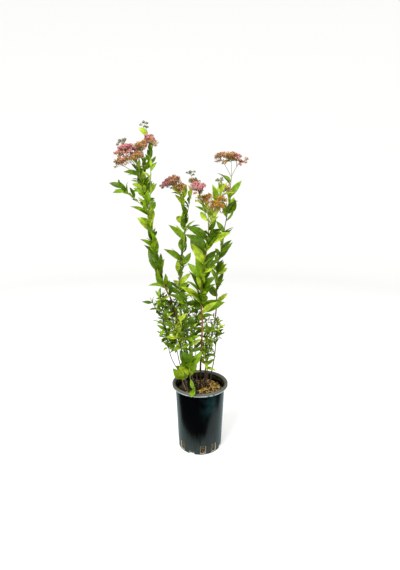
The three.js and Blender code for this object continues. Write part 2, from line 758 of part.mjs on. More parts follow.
// Stems first, then clusters, then leaves: what comes later and would touch another
// mass is left out. The planned stems always stay; a seeded side twig may not.
const masses = {};
const taken = [];
for (const [name, shoot] of Object.entries(shoots)) {
  const parent = shoots[shoot.from];
  shoot.axis = axisOf(shoot, startOf(shoot, parent));
  shoot.cut = cutOf(shoot, parent);
  const mass = shoot.mass ?? name;
  const beads = stemBeads(shoot);
  if (!SHOOTS[name] && touches(beads, mass, taken)) {
    delete shoots[name];
    continue;
  }
  masses[mass] ??= [];
  masses[mass].push(stemSolid(shoot));
  taken.push(...beads.map((bead) => ({ ...bead, mass })));
}
for (const [name, shoot] of Object.entries(shoots)) {
  const mass = shoot.mass ?? name;
  for (const cluster of clustersOf(shoot)) {
    const bead = { centre: cluster.centre, radius: cluster.size };
    if (touches([bead], mass, taken)) continue;
    masses[mass].push(clusterSolid(cluster));
    taken.push({ ...bead, mass });
  }
}
for (const [name, shoot] of Object.entries(shoots)) {
  const mass = shoot.mass ?? name;
  for (const leaf of leavesOf(shoot)) {
    const beads = leafBeads(leaf);
    if (beads.some(nearPot) || touches(beads, mass, taken)) continue;
    masses[mass].push(leafSolid(leaf));
    taken.push(...beads.map((bead) => ({ ...bead, mass })));
  }
}

add('pot', makePot(), POT_COLOUR, ROUGHNESS.pot);
add('soil', makeSoil(), SOIL_COLOUR, ROUGHNESS.soil);
for (const [name, pieces] of Object.entries(masses)) {
  const whole = outerSkin(pieces.reduce((sum, piece) => sum.add(piece)));
  const colour = isLimb(shoots[name]) ? STEM_COLOUR : LEAF_COLOUR;
  add(name, whole, colour, ROUGHNESS.plant);
}

export default group;
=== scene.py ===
"""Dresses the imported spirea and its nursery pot: pot, potting mix, bark, leaves, flowers.

Laid out as an add-on and run as a script. Growth sizes are in millimetres, as in the
part's source; settings and meshes are in metres. +Z is up and -Y is the plant's front.
"""

import math
from collections import namedtuple
from functools import lru_cache
from types import SimpleNamespace

import bpy
import numpy as np
from bpy.props import FloatProperty, FloatVectorProperty, IntProperty, PointerProperty
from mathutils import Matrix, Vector


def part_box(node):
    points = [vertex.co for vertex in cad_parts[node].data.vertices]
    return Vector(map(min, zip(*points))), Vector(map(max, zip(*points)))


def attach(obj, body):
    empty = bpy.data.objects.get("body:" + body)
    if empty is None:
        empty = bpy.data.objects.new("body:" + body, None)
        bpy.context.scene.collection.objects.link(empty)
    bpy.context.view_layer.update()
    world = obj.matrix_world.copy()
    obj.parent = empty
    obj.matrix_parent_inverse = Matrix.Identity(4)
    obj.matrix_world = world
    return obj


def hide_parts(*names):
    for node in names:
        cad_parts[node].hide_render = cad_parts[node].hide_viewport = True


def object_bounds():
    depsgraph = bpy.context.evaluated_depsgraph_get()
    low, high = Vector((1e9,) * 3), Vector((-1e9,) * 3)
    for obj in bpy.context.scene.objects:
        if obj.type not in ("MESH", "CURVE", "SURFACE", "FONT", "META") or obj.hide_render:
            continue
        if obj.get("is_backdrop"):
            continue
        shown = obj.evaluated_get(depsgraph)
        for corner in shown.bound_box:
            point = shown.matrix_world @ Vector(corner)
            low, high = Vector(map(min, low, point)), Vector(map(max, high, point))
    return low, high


bl_info = {
    "name": "Potted spirea",
    "version": (1, 0, 0),
    "blender": (4, 5, 0),
    "location": "View3D > Sidebar > Spirea",
    "description": "Pot, potting mix, stems, leaves and flower heads of a potted spirea",
    "category": "Add Mesh",
}

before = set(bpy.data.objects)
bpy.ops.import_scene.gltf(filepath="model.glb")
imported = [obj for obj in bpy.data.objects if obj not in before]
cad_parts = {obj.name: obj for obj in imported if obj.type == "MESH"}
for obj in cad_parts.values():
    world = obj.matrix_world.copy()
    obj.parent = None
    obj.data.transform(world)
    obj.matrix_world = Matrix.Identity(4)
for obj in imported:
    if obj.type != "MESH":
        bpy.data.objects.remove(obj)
CAD_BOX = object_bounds()
POT_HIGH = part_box("pot")[1]
SOIL_LOW, SOIL_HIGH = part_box("soil")

MM = 0.001                     # one millimetre, in metres
RIM_TOP = POT_HIGH.z / MM
RIM_RADIUS = POT_HIGH.x / MM
SOIL_TOP = SOIL_HIGH.z / MM

# ------------------------------------------------------------ the growing rule's sizes
# Millimetres and degrees, from the part's source. The plan differs from the source's in
# two places: basal_front's leaves start above 52, and middle_right_flowers' head rises 22.
GAP = 0.3                      # clearance between pieces that touch
RING = 28                      # length of the straight pieces of the source's stems
FINE = 6                       # straight pieces here for each one there
BEAD = 3                       # spacing of the beads that keep masses apart
BEAD_WIDE = 0.4
BEAD_LEAST = 0.5
FLARE = 0.7                    # how much wider a stem is where it leaves the soil
FLARE_REACH = 9
TURN = 137.5                   # from each leaf to the next, round the stem
LIGHT = np.array([0.15, -0.8, 0.55])
WIDE_AT = 0.42                 # where a leaf is widest, from its root
LEAF_RATIO = 0.36
SPREAD = 42
FOLD = 0.12                    # how far a leaf's edges rise, to its width
ARCH = 13                      # degrees that a leaf bends at its widest, each side
LEAF_END = 6
LEAF_SUNK = 0.3
FACE = dict(up=0.45, light=0.8)
SWING = dict(turn=40, spread=18, long=0.18, gap=0.35, light=0.4, right=0.7, back=0.5)
TWIG = dict(opens=42, more=14, rise=0.4, start=0.12, over=0.55, long=0.62, less=0.4)
TWIG_TIP = 1.3
RAY_DROP = 0.7                 # how far down the stem the outer rays start
DOME = 0.3                     # how far a head's edge hangs below its middle
CLUSTER_SIZE = 0.56
CLUSTER_DEPTH = 0.7
GOLDEN = 137.508
HEAD_TURN = 7

# Leaves on a stem: their dice's seed, where the first stands, the gap to the next and
# their lengths at even stations; then a width to the length, how far they open, from
# where they are drawn and where they end.
Leaves = namedtuple("Leaves", "seed first gap long wide spread above until",
                    defaults=(LEAF_RATIO, SPREAD, 0, math.inf))

# A shoot starts at its place on the soil, or on the parent that start names, at a share
# of its length. right and back are its leans to +X and +Y at even stations, thick its
# foot and tip. A fused one is part of its parent's mass. head is a flower head's width,
# rise and clusters, twigs the seed and the number of the side twigs.
Plan = namedtuple("Plan", "start right back length thick at fused leaves head twigs",
                  defaults=(1, False, None, None, None))
SHOOTS = {
    "cane_left": Plan((-27, 8), (-4, -14, -12), (0, -2, -4), 259, (5.4, 4.2)),
    "left_leaves": Plan("cane_left", (-28, -12, -7, -4), (-5, -5, -4, -4), 248, (4, 3),
        leaves=Leaves(479, 19, 9.5, (44, 46, 48, 46), wide=0.42, spread=30)),
    "left_side": Plan("left_leaves", (-45, -50, -38), (-24, -26, -26), 87, (2.2, 1.6), at=0.93,
        leaves=Leaves(3466, 13, 13.1, (28, 32, 28))),
    "left_flowers": Plan("left_leaves", (-17, -13, -5), (-9, -7, -5), 103, (2.8, 2),
        leaves=Leaves(1003, 14, 9.7, (36, 34, 28)), head=(38, 9, 3)),
    "left_head_outer": Plan("left_flowers", (-30, -44), (-20, -19), 44, (2, 1.6), at=0.75,
        fused=True, head=(50, 15, 4)),
    "left_head_low": Plan("left_flowers", (-57, -59), (-40, -39), 48, (1.8, 1.5), at=0.62,
        fused=True, head=(32, 11, 2)),
    "left_head_mid": Plan("left_flowers", (15, -11), (6, 6), 39, (1.6, 1.4), at=0.8, fused=True,
        head=(32, 9, 2)),
    "left_head_gold": Plan("left_flowers", (-50, -28), (-31, -30), 29, (1.6, 1.4), at=0.7,
        fused=True, head=(22, 9, 1)),
    "left_head_link": Plan("left_flowers", (13, 20), (-8, -8), 42, (1.5, 1.3), at=0.85, fused=True,
        head=(20, 7, 1)),
    "left_bud_head": Plan("left_head_outer", (-26, -32), (-7, -7), 41, (1.5, 1.3), at=0.6,
        fused=True, head=(20, 6, 1)),
    "left_column": Plan("left_leaves", (-14, -7, 10), (16, 10, 6), 124, (2.4, 1.8), at=0.97,
        leaves=Leaves(280, 13, 8.7, (38, 36, 30))),
    "left_tall": Plan("left_leaves", (7, 3, 3, -9), (-9, -3, 5, 8), 151, (2.6, 1.8), at=0.95,
        leaves=Leaves(2469, 12, 15.9, (34, 32, 28)), head=(40, 11, 3)),
    "left_tall_low": Plan("left_tall", (14, 30), (-30, -30), 18, (1.5, 1.3), at=0.86, fused=True,
        head=(18, 6, 1)),
    "left_tall_bud": Plan("left_tall", (-4, -22), (8, 7), 52, (1.5, 1.3), at=0.9, fused=True,
        leaves=Leaves(593, 27, 25.6, (26, 24)), head=(17, 6, 1)),
    "cane_middle": Plan((-20, 32), (-10, -9, -6), (2, 2, 2), 232, (4.8, 3.8)),
    "middle_leaves": Plan("cane_middle", (-7, 8, 7, 2), (3, 4, 4, 3), 241, (3.6, 2.8),
        leaves=Leaves(7557, 17, 15.1, (50, 48, 46, 36))),
    "middle_stack": Plan("middle_leaves", (1, 4), (-19, -18), 33, (2, 1.5), at=0.86, fused=True,
        leaves=Leaves(374, 1, 5.5, (40, 34), wide=0.42, spread=14)),
    "middle_left_flowers": Plan("middle_leaves", (-14, -18), (-5, -5), 60, (2.4, 1.8),
        leaves=Leaves(77, 19, 12.9, (38, 30)), head=(42, 11, 3)),
    "middle_head_outer": Plan("middle_left_flowers", (-20, -40), (-8, -8), 50, (1.8, 1.5), at=0.5,
        fused=True, head=(58, 12, 5)),
    "middle_right_flowers": Plan("middle_leaves", (12, 11, 15), (9, 8, 7), 72, (2.2, 1.6), at=0.97,
        leaves=Leaves(351, 21, 12, (34, 28)), head=(36, 22, 3)),
    "middle_bud_head": Plan("middle_right_flowers", (8, -5), (-4, -3), 52, (1.5, 1.3), at=0.75,
        fused=True, head=(17, 6, 1)),
    "cane_front": Plan((1, -5), (-1, 3, 1), (-2, -3, -4), 204, (5.2, 4.2)),
    "front_leaves": Plan("cane_front", (-8, 4, 11, -4), (-2, -5, -7, -7), 258, (4, 3),
        leaves=Leaves(443, 12, 14, (46, 58, 60, 44))),
    "front_left_flowers": Plan("front_leaves", (-20, -19, -13), (-14, -12, -11), 69, (2, 1.5),
        at=0.985, leaves=Leaves(12, 14, 24, (28, 22)), head=(40, 13, 3)),
    "front_mid_flowers": Plan("front_leaves", (-7, -15), (7, 7), 36, (2.2, 1.8),
        leaves=Leaves(13, 8, 9, (30, 24)), head=(40, 14, 3)),
    "front_right_flowers": Plan("front_leaves", (9, 38), (-19, -19), 39, (2.2, 1.8), at=0.96,
        leaves=Leaves(2695, 17, 10.7, (30, 26)), head=(44, 9, 3)),
    "front_head_upper": Plan("front_right_flowers", (45, 34), (16, 17), 38, (1.5, 1.3), at=0.5,
        fused=True, head=(30, 6, 2)),
    "front_back_spray": Plan("front_leaves", (23, 23, -5), (20, 13, 7), 113, (2.2, 1.6), at=0.93,
        leaves=Leaves(1030, 15, 13, (38, 46, 34))),
    "front_bud_head": Plan("front_back_spray", (-22, -10), (-17, -17), 19, (1.5, 1.3), at=0.8,
        fused=True, head=(15, 6, 1)),
    "front_back_head": Plan("front_back_spray", (61, 34), (48, 47), 19, (1.5, 1.3), at=0.7,
        fused=True, head=(26, 8, 2)),
    "cane_right": Plan((14, 40), (0, 13, 6), (-1, -2, -2), 214, (4.4, 3.6)),
    "right_leaves": Plan("cane_right", (3, -3, 15, 3), (-1, -2, -2, -2), 222, (3.4, 2.6),
        leaves=Leaves(1916, 17, 17.3, (46, 46, 44, 44))),
    "right_flowers": Plan("right_leaves", (12, 5, 5), (-3, -4, -4), 129, (2.4, 1.8),
        leaves=Leaves(1437, 33, 32.8, (54, 50, 42))),
    "right_head_left": Plan("right_flowers", (-27, -37), (-14, -14), 52, (1.5, 1.2), at=0.97,
        fused=True, head=(28, 9, 2)),
    "right_head_mid": Plan("right_flowers", (1, -6), (5, 5), 41, (1.5, 1.2), at=0.99, fused=True,
        head=(44, 9, 3)),
    "right_head_right": Plan("right_flowers", (21, 39), (-7, -7), 40, (1.5, 1.2), at=0.98,
        fused=True, leaves=Leaves(223, 24, 27.6, (24, 20)), head=(22, 8, 1)),
    "cane_far": Plan((29, 34), (4, 11, 4), (-2, -2, -3), 104, (3, 2.4)),
    "far_leaves": Plan("cane_far", (5, 3), (-2, -2), 78, (2.2, 1.6),
        leaves=Leaves(1996, 9, 9.5, (26, 26), spread=62)),
    "twig_low_left": Plan((-46, 2), (2, -32, -9), (-2, -3, -4), 122, (2.6, 2)),
    "low_left_leaves": Plan("twig_low_left", (-7, -7, -5), (-4, -3, -3), 159, (2, 1.5),
        twigs=(21, 3), leaves=Leaves(941, 6, 8, (26, 31, 28), spread=62)),
    "twig_low_side": Plan((-38, 22), (-19, -14, -9), (1, 2, 2), 104, (2.8, 2.2)),
    "low_side_leaves": Plan("twig_low_side", (-4, -7, -9), (2, 2, 2), 141, (2, 1.5), twigs=(22, 3),
        leaves=Leaves(3286, 6, 8.8, (26, 31, 28), spread=62)),
    "twig_low_front": Plan((-32, -18), (-13, -6, -5), (-4, -5, -5), 123, (2.6, 2)),
    "low_front_leaves": Plan("twig_low_front", (-10, -19, -11), (-6, -6, -5), 84, (2, 1.5),
        twigs=(23, 2), leaves=Leaves(452, 5, 8.7, (32, 32, 28), spread=62)),
    "twig_low_mid": Plan((-13, -22), (-13, -6, -5), (-2, -2, -2), 96, (2.8, 2.2)),
    "low_mid_leaves": Plan("twig_low_mid", (-3, -6, 5), (-3, -2, -1), 168, (2, 1.5), twigs=(24, 3),
        leaves=Leaves(2935, 8, 10.7, (26, 31, 28), spread=62)),
    "twig_low_inner": Plan((-4, 14), (-13, -3, -2), (0, 0, 0), 96, (2.6, 2)),
    "low_inner_leaves": Plan("twig_low_inner", (-7, 6, 8), (-1, -1, -2), 149, (2, 1.5),
        twigs=(25, 3), leaves=Leaves(1605, 7, 10.7, (26, 31, 28), spread=62)),
    "twig_low_back": Plan((-28, 46), (-15, -15, -9), (4, 5, 5), 110, (2.8, 2.2)),
    "low_back_leaves": Plan("twig_low_back", (-6, -8, -2), (7, 7, 6), 131, (2, 1.5), twigs=(26, 3),
        leaves=Leaves(1821, 6, 9.9, (26, 31, 28), spread=62)),
    "twig_right_front": Plan((18, 20), (0, -2, -4), (-2, -2, -2), 52, (2.4, 2)),
    "right_front_leaves": Plan("twig_right_front", (-3, 2, 9), (-5, -5, -5), 113, (1.8, 1.4),
        twigs=(27, 1), leaves=Leaves(2094, 10, 9, (22, 24, 28), spread=62)),
    "twig_right_back": Plan((22, 54), (-1, -1, 0), (5, 5, 4), 48, (2.4, 2)),
    "right_back_leaves": Plan("twig_right_back", (2, 10, 5), (6, 6, 7), 120, (1.8, 1.4),
        twigs=(28, 1), leaves=Leaves(3224, 15, 10.3, (24, 28, 26), spread=62)),
    "basal_left": Plan((-38, -8), (-21, -14), (-4, -4), 58, (2.2, 1.6),
        leaves=Leaves(630, 28, 5.3, (40, 40), wide=0.5, spread=38)),
    "basal_front": Plan((-16, -34), (-14, -8, 0), (-3, -3, -3), 98, (2.4, 1.6),
        leaves=Leaves(2305, 16, 4.8, (42, 40, 38), above=52, wide=0.54, spread=50)),
    "basal_rim": Plan((-20, -46), (6, 10, 16), (-4, -30, -70), 44, (2, 1.5),
        leaves=Leaves(1302, 29, 28.5, (50, 50), wide=0.46, spread=45)),
}

# ------------------------------------------------------------ what the scene adds to it
# Sprays: more leaves on a stretch of the same stem, a seed for each. Its dice say where
# the stretch starts and, between these bounds, how long and how far apart its leaves are
# to the mass's longest one, how wide to their length, and how far open to the mass's own.
SPRAY = ((0.5, 1.1), (0.15, 0.4), (0.34, 0.46), (0.55, 1.55))
SPRAY_REACH = 45
SPRAY_ENDS = (1, 11)           # how near the stem's foot and tip a stretch may start
SPRAYS = {
    "left_leaves": (29283, 3069, 12700, 12674, 27962, 10308, 1440, 11806),
    "left_column": (25807, 6701, 6882, 14144),
    "left_flowers": (13684, 94),
    "left_tall": (20366, 354),
    "left_tall_bud": (20801,),
    "left_side": (3838, 189),
    "front_leaves": (13053, 21734, 25220, 27230, 21902, 9875, 4503, 15073, 29640),
    "right_leaves": (29315, 4017, 20102, 20713, 25105),
    "middle_leaves": (6028, 18817, 9784, 9772, 10715, 1142, 18240),
    "right_flowers": (27056, 25610),
    "front_back_spray": (3573, 18761, 12401),
    "middle_left_flowers": (26092,),
    "middle_right_flowers": (19755,),
    "front_left_flowers": (11826,),
    "right_front_leaves": (27067, 12907, 20138, 2354),
    "far_leaves": (9564,),
    "basal_front": (4365, 11129),
    "low_mid_leaves": (4951, 21380, 29215, 22649, 23831),
    "low_inner_leaves": (646, 3071, 14141, 3804),
    "low_left_leaves": (2500, 25192, 15, 22512, 3955),
    "low_side_leaves": (16408, 3071, 2088),
    "low_front_leaves": (4751,),
    "basal_rim": (7153,),
}

# Finer twigs on the masses' own stems: their seed and number.
FINE_TWIGS = {
    "low_left_leaves": (61, 12), "low_side_leaves": (62, 11), "low_front_leaves": (63, 8),
    "low_mid_leaves": (64, 13), "low_inner_leaves": (65, 12), "low_back_leaves": (66, 11),
    "right_front_leaves": (67, 10), "right_back_leaves": (68, 10), "far_leaves": (69, 7),
}
FINE_TWIG = dict(opens=34, more=30, rise=0.5, start=0.04, over=0.92, long=(26, 52),
                 thick=(1.1, 0.6))
FINE_LEAVES = Leaves(0, 4, 4.6, (12, 18, 13), spread=50)

# Small leaves in the axils of leaves over a least length: what share of those has them,
# their length to the leaf's, how far they open in degrees, times a dealt part, how far
# they lean to each side of it, and how far they face outwards.
TUFT = dict(least=24, share=0.6, long=(0.2, 0.42), spread=26, part=(0.6, 1.4), side=(0.4, 1),
            out=(-0.3, 0.7), seed=7)

# Shares of each leaf tint by the start of a mass's name: deep, mid, bright, lime. Deep is partly
# painted shade, so the low masses take more of it, and bright is painted light.
LEAF_TINTS = ("deep", "mid", "bright", "lime")
LEAF_MIX = {
    "": (0.3, 0.44, 0.26, 0),
    "left": (0.3, 0.44, 0.25, 0.01),
    "left_flowers": (0.36, 0.42, 0.2, 0.02),
    "left_tall": (0.2, 0.42, 0.34, 0.04),
    "middle": (0.28, 0.44, 0.28, 0),
    "middle_left_flowers": (0.1, 0.3, 0.4, 0.2),
    "middle_right_flowers": (0.1, 0.3, 0.4, 0.2),
    "front": (0.34, 0.44, 0.22, 0),
    "front_mid_flowers": (0.2, 0.35, 0.35, 0.1),
    "front_back_spray": (0.04, 0.2, 0.36, 0.4),
    "low": (0.56, 0.32, 0.12, 0),
    "low_front_leaves": (0.08, 0.3, 0.5, 0.12),
    "far": (0.3, 0.42, 0.26, 0.02),
    "basal_front": (0.5, 0.4, 0.1, 0),
    "basal_left": (0, 0.3, 0.6, 0.1),
    "basal_rim": (0.25, 0.65, 0.1, 0),
}

# Each head's flowers: the tint of most, the tint of the rest, the rest's share, and the
# side, to +X and up, where the rest are.
HEADS = {
    "left_flowers": ("gold", "dusty", 0.45, (0.3, 1)),
    "left_head_outer": ("pink", "dusty", 0.45, (0.3, -1)),
    "left_head_low": ("dusty", "brown", 0.45, (-1, -0.4)),
    "left_head_mid": ("dusty", "gold", 0.4, (0, -1)),
    "left_head_gold": ("gold", "brown", 0.4, (0, -1)),
    "left_head_link": ("gold", "dusty", 0.45, (1, 0)),
    "left_bud_head": ("bud", "bud", 0, (0, 1)),
    "left_tall": ("pink", "gold", 0.4, (1, -1)),
    "left_tall_low": ("gold", "brown", 0.4, (0, -1)),
    "left_tall_bud": ("bud", "bud", 0, (0, 1)),
    "middle_left_flowers": ("gold", "brown", 0.35, (0, -1)),
    "middle_head_outer": ("dusty", "pink", 0.35, (-1, 0)),
    "middle_right_flowers": ("brown", "gold", 0.5, (0, -1)),
    "middle_bud_head": ("bud", "bud", 0, (0, 1)),
    "front_left_flowers": ("pink", "dusty", 0.3, (0, -1)),
    "front_mid_flowers": ("brown", "gold", 0.4, (0, 1)),
    "front_right_flowers": ("gold", "brown", 0.5, (0.4, -1)),
    "front_head_upper": ("gold", "brown", 0.4, (1, 0)),
    "front_bud_head": ("bud", "bud", 0, (0, 1)),
    "front_back_head": ("brown", "gold", 0.4, (0, 1)),
    "right_head_left": ("dusty", "brown", 0.5, (-1, -1)),
    "right_head_mid": ("gold", "dusty", 0.4, (1, 0.5)),
    "right_head_right": ("dusty", "pink", 0.45, (-1, 0)),
}
OPEN_TINTS = ("pink", "dusty")


# ------------------------------------------------------------ settings
def linear(hex_colour):
    """An sRGB hex colour as linear red, green and blue."""
    parts = [int(hex_colour[i:i + 2], 16) / 255 for i in (1, 3, 5)]
    return tuple(p / 12.92 if p <= 0.04045 else ((p + 0.055) / 1.055) ** 2.4 for p in parts)


def size(name, text, default):
    """A length setting, in metres."""
    return FloatProperty(name=name, description=text, default=default, min=0, unit="LENGTH")


def colour(name, text, hex_colour):
    """A colour setting, from its sRGB hex value."""
    return FloatVectorProperty(
        name=name, description=text, subtype="COLOR", min=0, max=1, default=linear(hex_colour))


def number(name, text, default):
    """A plain number setting."""
    return FloatProperty(name=name, description=text, default=default, min=0)


class SpireaPot(bpy.types.PropertyGroup):
    height: size("Height", "Underside to the top of the rim", POT_HIGH.z)
    rim_radius: size("Rim radius", "Outside of the rolled rim", POT_HIGH.x)
    rim_depth: size("Rim depth", "Height of the rim's band", 8 * MM)
    edge: size("Edge", "Rounding of the slots' edges", 0.9 * MM)
    dust_height: size("Dust height", "How far up the dried splashes reach", 66 * MM)
    shell: colour("Shell", "Black moulded plastic", "#040506")
    # Colour of a painted reflection: a blue-green patch on the upper wall that stands in for a cold
    # reflection in the gloss, not a cast of the plastic.
    painted_reflection: colour("Cold sheen", "Blue-green cast of the plastic", "#123538")
    dust: colour("Dust", "Dried mud and lime on the lower wall", "#5c6a62")
    rim: colour("Rim", "Weathered grey of the rim", "#6c6c60")
    stain: colour("Stain", "Olive film on the inside of the wall", "#33351f")
    # Colour of painted glints: pale streaks along the rim's lower edge where a lamp's highlight
    # would fall.
    painted_glint: colour("Rubbed edge", "Pale rubbed lower edge of the rim", "#c3cfd2")
    scuff: colour("Scuffs", "Pale worn edges of the slots", "#d6d2c2")


class SpireaSoil(bpy.types.PropertyGroup):
    chips: IntProperty(name="Chips", description="Bark chips on the mix", default=460, min=0)
    chip: size("Chip", "Length of a usual bark chip", 6.6 * MM)
    mix: colour("Mix", "Damp peat and bark mix", "#1d140d")
    moss: colour("Moss", "Thin moss by the wall", "#4d5522")
    roots: colour("Roots", "Root ends and fibres at the sides", "#8c7648")
    amber: colour("Amber chips", "Fresh amber bark", "#c99a38")
    straw: colour("Straw", "Bright fibres of bark and straw", "#ecd286")
    umber: colour("Umber chips", "Weathered brown bark", "#7a531f")
    dark: colour("Dark chips", "Wet dark bark", "#2a1d12")


class SpireaBark(bpy.types.PropertyGroup):
    ridge: size("Ridge", "Depth of the bark's ridges", 0.16 * MM)
    maroon: colour("Maroon bark", "Old canes, dark red, at the foot", "#241311")
    maroon_high: colour("Maroon bark, high", "The same higher up", "#5a2c22")
    rust: colour("Rust bark", "Front cane, dark brown, at the foot", "#33200f")
    rust_high: colour("Rust bark, high", "The same higher up", "#a8702c")
    rose: colour("Rose bark", "Right canes, grey-brown, at the foot", "#5f4a3e")
    rose_high: colour("Rose bark, high", "The same higher up", "#a67c62")
    ash: colour("Ash bark", "Low twigs, grey-purple", "#5a4c46")
    ash_high: colour("Ash bark, high", "The same higher up", "#6c6a48")
    ripe: colour("Ripening stem", "Leafy canes at the foot", "#8c5a2a")
    ripe_high: colour("Ripening stem, high", "The same under the flowers", "#a09c44")
    green: colour("Green stem", "This year's growth", "#8a7c4a")
    green_high: colour("Green stem, high", "The same higher up", "#98b048")
    tan: colour("Tan stem", "Leafy stems of the right canes", "#8a6c54")
    tan_high: colour("Tan stem, high", "The same higher up", "#968c6a")
    straw: colour("Straw stem", "Stems of the flower heads", "#8f7f48")
    straw_high: colour("Straw stem, high", "The same higher up", "#93a25a")


class SpireaLeaves(bpy.types.PropertyGroup):
    thickness: size("Thickness", "Thickness of a blade at its rib", 0.45 * MM)
    # The deep green is partly the oldest leaves' own colour and partly painted shade, and the
    # bright green is painted light; both are dealt to leaves by chance, not by how each one faces
    # the light.
    deep: colour("Deep", "Shaded and oldest leaves", "#4e6e02")
    mid: colour("Mid", "Usual leaf green", "#749808")
    bright: colour("Bright", "Leaves that face the light", "#a4bc26")
    lime: colour("Lime", "Young leaves", "#c4d048")
    rib: colour("Rib", "Midrib and leaf stalk", "#b4c878")


class SpireaFlowers(bpy.types.PropertyGroup):
    width: size("Width", "Across one open flower", 6.2 * MM)
    bud: size("Bud", "Across one bud", 2.2 * MM)
    pink: colour("Pink", "Fresh petals", "#ee909c")
    dusty: colour("Dusty pink", "Ageing petals", "#cc9260")
    gold: colour("Gold brown", "Freshly faded flowers", "#d3a424")
    brown: colour("Brown", "Dried flowers", "#a26e16")
    buds: colour("Buds", "Closed buds", "#948f70")
    eye: colour("Eye", "Middle of a flower", "#cf9f52")
    stamen: colour("Stamens", "Stamens of open flowers", "#e6a3ae")
    stalk: colour("Stalks", "Downy grey-green stalks of the flowers", "#8a9468")


class SpireaStage(bpy.types.PropertyGroup):
    floor: colour("Floor", "Pale studio floor", "#f4f4f2")
    distance: size("Distance", "Camera to the pot's axis", 0.95807)
    rise: size("Rise", "Camera above the floor", 0.64849)
    dip: FloatProperty(name="Dip", description="Camera's angle below level",
                       default=math.radians(11.7), subtype="ANGLE")
    lens: FloatProperty(name="Lens", description="Focal length in millimetres", default=24)
    key: number("Key light", "Power of the main soft light, in watts", 55)
    fill: number("Fill light", "Power of the side fill, in watts", 18)
    sky: number("Sky", "Strength of the white surroundings", 0.75)
    glow: number("Glow", "Light that the floor gives off itself", 0.2)
    card: colour("Card", "Reflector card that only shines in the pot", "#d2eaea")


SETTINGS = {
    "spirea_pot": SpireaPot, "spirea_soil": SpireaSoil, "spirea_bark": SpireaBark,
    "spirea_leaves": SpireaLeaves, "spirea_flowers": SpireaFlowers, "spirea_stage": SpireaStage,
}


# ------------------------------------------------------------ growing
Leaf = namedtuple("Leaf", "root direction face long wide stem outward shoot")


def unit(vectors):
    """Vectors scaled to length 1."""
    return vectors / np.linalg.norm(vectors, axis=-1, keepdims=True)


def along(stations, share):
    """The value at a share of the way through a list of even stations."""
    return np.interp(share, np.linspace(0, 1, len(stations)), stations)


def dice(seed):
    """Seeded dice: the same numbers from 0 to 1 on every run."""
    state = seed * 7919 + 1
    while True:
        state = state * 48271 % 2147483647
        yield state / 2147483647


def dealt(bounds, roll):
    """A value that the dice deal between two bounds."""
    return bounds[0] + (bounds[1] - bounds[0]) * next(roll)


def make_shoot(name, plan):
    return SimpleNamespace(name=name, foot=not isinstance(plan.start, str), **plan._asdict())


def heading(shoot, share):
    """The way a shoot points: tangents of its leans to +X and +Y, with 1 upwards."""
    lean = [np.tan(np.radians(along(shoot.right, share))),
            np.tan(np.radians(along(shoot.back, share))),
            np.ones_like(np.asarray(share, float))]
    return unit(np.stack(lean, axis=-1))


def across(ways):
    """Two directions square to each way, the first as near to +X as can be."""
    right = unit(np.array([1.0, 0, 0]) - ways * ways[..., :1])
    return right, np.cross(ways, right)


def point_at(shoot, share):
    """The place on a shoot's axis at a share of its length."""
    place = np.clip(np.asarray(share, float), 0, 1) * (len(shoot.line) - 1)
    low = np.minimum(place.astype(int), len(shoot.line) - 2)
    part = (place - low)[..., None]
    return shoot.line[low] * (1 - part) + shoot.line[low + 1] * part


def radius_at(shoot, share):
    """A shoot's radius at a share of its length, with its flare at the soil."""
    flare = FLARE * np.exp(-np.asarray(share) * shoot.length / FLARE_REACH) if shoot.foot else 0
    return along(shoot.thick, share) / 2 * (1 + flare)


def set_axis(shoot, shoots):
    """Works out a shoot's mass and axis: straight pieces end to end from its start, each
    the way that the leans give at its middle."""
    shoot.mass = shoot.name
    if shoot.foot:
        start = np.array([*shoot.start, SOIL_TOP + GAP])
    else:
        parent = shoots[shoot.start]
        start = point_at(parent, shoot.at)
        way, leave = heading(parent, shoot.at), heading(shoot, 0)
        if shoot.fused:
            shoot.mass = parent.mass
        elif shoot.at == 1:
            start = start + way * GAP
        else:
            slant = float(leave @ way)
            reach = radius_at(parent, shoot.at) + GAP + slant * shoot.thick[0] / 2
            start = start + unit(leave - way * slant) * reach
    steps = FINE * max(2, int(shoot.length / RING + 0.5))
    moves = heading(shoot, (np.arange(steps) + 0.5) / steps) * shoot.length / steps
    shoot.line = np.vstack([start, start + np.cumsum(moves, axis=0)])


class Room:
    """The beads that stems, leaves and flower clusters take, each with its mass."""

    def __init__(self, most=200000):
        self.count = 0
        self.beads = np.zeros((most, 4))
        self.mass = np.zeros(most, int)
        self.names = {}

    def number(self, mass):
        return self.names.setdefault(mass, len(self.names))

    def touches(self, beads, mass):
        """Whether any bead comes nearer than twice the gap to another mass's bead."""
        far = beads[:, 3].max() + 25
        taken = self.beads[:self.count]
        near = np.all((taken[:, :3] > beads[:, :3].min(0) - far)
                      & (taken[:, :3] < beads[:, :3].max(0) + far), axis=1)
        near &= self.mass[:self.count] != self.number(mass)
        other = taken[near]
        apart = np.linalg.norm(beads[:, None, :3] - other[None, :, :3], axis=2)
        return bool(np.any(apart < beads[:, None, 3] + other[None, :, 3] + 2 * GAP))

    def take(self, beads, mass):
        end = self.count + len(beads)
        self.beads[self.count:end] = beads
        self.mass[self.count:end] = self.number(mass)
        self.count = end


def near_pot(beads):
    """Whether a bead is nearer than the gap to the pot or the mix."""
    room = beads[:, 3] + GAP
    out = np.hypot(beads[:, 0], beads[:, 1])
    over_soil = (beads[:, 2] > SOIL_TOP + room) & (out < pot_inner(SOIL_TOP) - room)
    over_rim = beads[:, 2] > RIM_TOP + room
    return bool(np.any(~over_soil & ~over_rim & (out < RIM_RADIUS + room)))


def stem_beads(shoot):
    """Even places along a shoot, with its radius."""
    shares = np.linspace(0, 1, math.ceil(shoot.length / BEAD) + 1)
    return np.column_stack([point_at(shoot, shares), radius_at(shoot, shares)])


